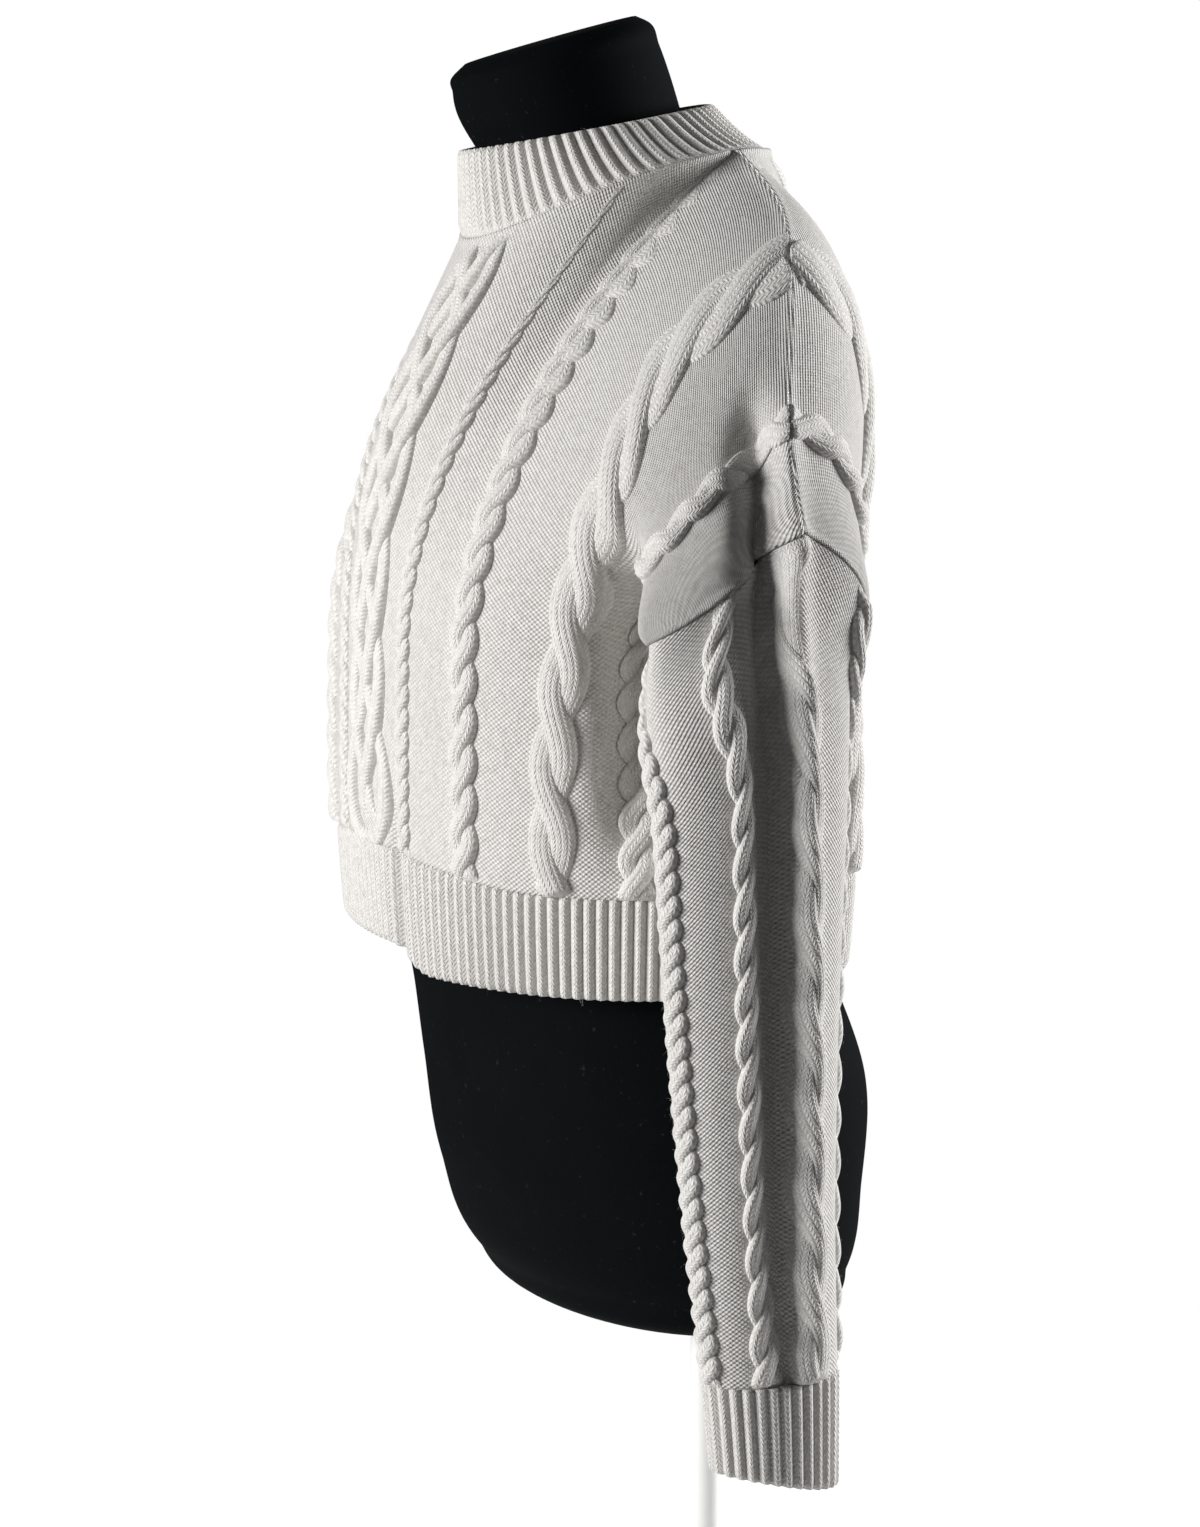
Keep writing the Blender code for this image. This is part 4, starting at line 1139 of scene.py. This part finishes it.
# The tubes of the arms, which have one normal with the panels at the armhole.
def buildSleeves():
    u, v = np.meshgrid(np.linspace(0, 1, sleeve["columns"] + 1),
                       np.linspace(0, 1, sleeve["rows"] + 1))
    middle = lambda v, size: 0.5 + size["share"] + 0*v
    fade = endFade(sleeve["cableRise"], sleeve["cableEnd"])
    for armSide, name, node in ((1, "arm_left", "sleeve_left"), (-1, "arm_right", "sleeve_right")):
        points, girth = sleevePoint(u, v, armSide)
        points = points[:, :-1]
        normals = gridNormals(points, True, armSide > 0)
        near = smoothStep(sleeve["seamRow"], 0, v)[:, :-1, None]
        normals = unit(normals*(1 - near) + armholeNormal(points[0])[None]*near)
        knit = {"wale": (u - 0.5)*girth/cloth["waleWidth"],
                "course": v*sleeve["length"]/cloth["courseHeight"]}
        sunk = points - normals*hangingFold(points)[..., None]
        surface = cableSurface(lambda u, v: sleevePoint(u % 1.0, v, armSide)[0], lambda u: u % 1.0,
                               np.concatenate([normals, normals[:, :1]], axis=1),
                               lambda flat, u, v: hangingFold(flat), middle)
        strands = cableStrands(surface, sleeveCables, False, fade)
        cabledPiece(name, node, sleeve["wholeSize"], sunk, sunk, normals, knit, strands,
                    True, armSide > 0, 7 + armSide)


# The cuffs carry the sleeves' sections on down.
def buildCuffs():
    for armSide, name, node in ((1, "wrist_rib_left", "cuff_left"),
                                (-1, "wrist_rib_right", "cuff_right")):
        ribbedTube(name, node, cuff, cuff["wholeSize"],
                   lambda u, v: cuffPoint(u, v, armSide), np.ones_like, armSide > 0, 17 + armSide)


# Faces round a stack of rings, with a fan of triangles to a middle point at each end.
def ringPiece(name, rings, lowMiddle, highMiddle, material, node):
    place = gridPlaces(rings, 0, True)
    walls = cellCorners(place).reshape(-1, 4)
    lowPlace, highPlace = (np.full(rings.shape[1], rings.size//3 + end) for end in (0, 1))
    lowFan = np.stack([place[0, 1:], place[0, :-1], lowPlace], axis=-1)
    highFan = np.stack([place[-1, :-1], place[-1, 1:], highPlace], axis=-1)
    points = np.concatenate([rings.reshape(-1, 3), [lowMiddle, highMiddle]])
    piece = meshFromFaces(name, points, [walls, lowFan, highFan])
    piece.data.set_sharp_from_angle(angle=sharpAngle)
    settle(piece, material, node)
    print(name, "made")


# Each ring is half an ellipse to the front and half to the back. The neck's top slopes up to the
# back, by its slant times the distance from the ring's middle.
def buildForm():
    table = form["sections"]
    lowest, highest = table[0][0], table[-1][0]
    step = np.linspace(0, 1, form["rings"])
    height = lowest + (highest - lowest)*(0.5 - 0.5*np.cos(np.pi*step))
    u, h = np.meshgrid(2*np.pi*np.arange(form["sides"])/form["sides"], height)
    halfX, front, back, centreY = readTable(h, table)
    y = centreY - np.where(np.cos(u) > 0, front, back)*np.cos(u)
    slant = form["slant"]*smoothStep(form["slantStart"], form["slantEnd"], h)
    rings = point3(halfX*np.sin(u), y, h + slant*(y - centreY) + garmentLift)
    ringPiece("form_body", rings, rings[0].mean(0), rings[-1].mean(0), jersey, "dress_form")


# A turned profile of radius and height pairs.
def turnedPiece(name, node, profile, centreY):
    turn = 2*np.pi*np.arange(stand["sides"])/stand["sides"]
    profile = np.array(profile)
    radius, height = profile[:, :1], profile[:, 1:]
    rings = point3(radius*np.cos(turn), centreY + radius*np.sin(turn), height)
    ringPiece(name, rings, (0, centreY, profile[0, 1]), (0, centreY, profile[-1, 1]), standPaint,
              node)


# A flat disc with a rounded upper edge, and a straight pole up to the form.
def buildStand():
    radius, thick, edge = stand["baseRadius"], stand["baseThickness"], stand["baseRound"]
    under, turn = stand["underRound"], np.linspace(0, np.pi/2, stand["roundSteps"])
    rim = [(radius - edge + edge*math.cos(t), thick - edge + edge*math.sin(t)) for t in turn]
    turnedPiece("base_disc", "stand_base", [(radius - under, 0), (radius, under)] + rim, 0.0)
    top = garmentLift + form["sections"][0][0]
    pole = stand["poleRadius"]
    turnedPiece("pole_tube", "stand_pole", [(pole, thick), (pole, top)], stand["poleCentreY"])


# The floor is a pale disc that fades out towards its rim, where the white room shows. The camera
# stands on a circle round the body axis, at the height and angle given. Its lens is the one that
# makes a pixel cover the given metres at that distance.
def buildStudio():
    radius = studio["floorRadius"]
    bpy.ops.mesh.primitive_circle_add(vertices=studio["floorSides"], radius=radius, fill_type="NGON")
    floor = bpy.context.object
    floor.name = "studio_floor"
    paper = Finish("studio_paper", Roughness=0.9, Emission_Strength=0.16)
    distance = paper.node("VectorMath", {"operation": "LENGTH"}, {0: paper.objectPlace()}, "Value")
    fade = paper.node("MapRange", {"interpolation_type": "SMOOTHSTEP"},
                      {"Value": distance, "From Min": studio["floorClear"],
                       "From Max": radius*studio["floorEnd"], "To Min": 1.0, "To Max": 0.0})
    paper.give(Base_Color=(0.96, 0.96, 0.96, 1.0), Alpha=fade)
    floor.data.materials.append(paper.material)

    camera = addObject("camera", bpy.data.cameras.new("camera"))
    camera.data.sensor_fit = "AUTO"
    camera.data.sensor_width = 36.0
    frameHeight = studio["metresPerPixel"]*studio["imageHeight"]
    camera.data.lens = camera.data.sensor_width*studio["cameraDistance"]/frameHeight
    azimuth, pitch = studio["cameraAzimuth"], studio["cameraPitch"]
    toCamera = Vector((math.sin(azimuth), -math.cos(azimuth), 0))
    toRight = Vector((math.cos(azimuth), math.sin(azimuth), 0))
    camera.location = toCamera*studio["cameraDistance"] + Vector((0, 0, studio["cameraHeight"]))
    camera.rotation_euler = (math.pi/2 - pitch, 0, azimuth)
    bpy.context.scene.camera = camera

    for name, (right, near, height, size, power) in studio["lamps"].items():
        lamp = bpy.data.lights.new(name, "AREA")
        lamp.size = size
        lamp.energy = power
        holder = addObject(name, lamp)
        holder.location = toRight*right + toCamera*near + Vector((0, 0, height))
        aim = Vector((0, 0, studio["lampsAimAt"])) - holder.location
        holder.rotation_euler = aim.to_track_quat("-Z", "Y").to_euler()

    world = bpy.data.worlds.new("studio")
    bpy.context.scene.world = world
    world.use_nodes = True
    nodes, links = world.node_tree.nodes, world.node_tree.links
    sky = nodes["Background"]
    sky.inputs["Color"].default_value = (1.0, 1.0, 1.0, 1.0)
    path = nodes.new("ShaderNodeLightPath")
    level = nodes.new("ShaderNodeMapRange")  # the room lights less than it shows
    level.inputs["To Min"].default_value = studio["roomLight"]
    level.inputs["To Max"].default_value = studio["roomWhite"]
    links.new(path.outputs["Is Camera Ray"], level.inputs["Value"])
    links.new(level.outputs["Result"], sky.inputs["Strength"])
    bpy.context.scene.view_settings.view_transform = "Standard"
    print("studio made")


buildForm()
buildBody()
buildWelts()
buildCollar()
buildSleeves()
buildCuffs()
buildStand()
buildStudio()
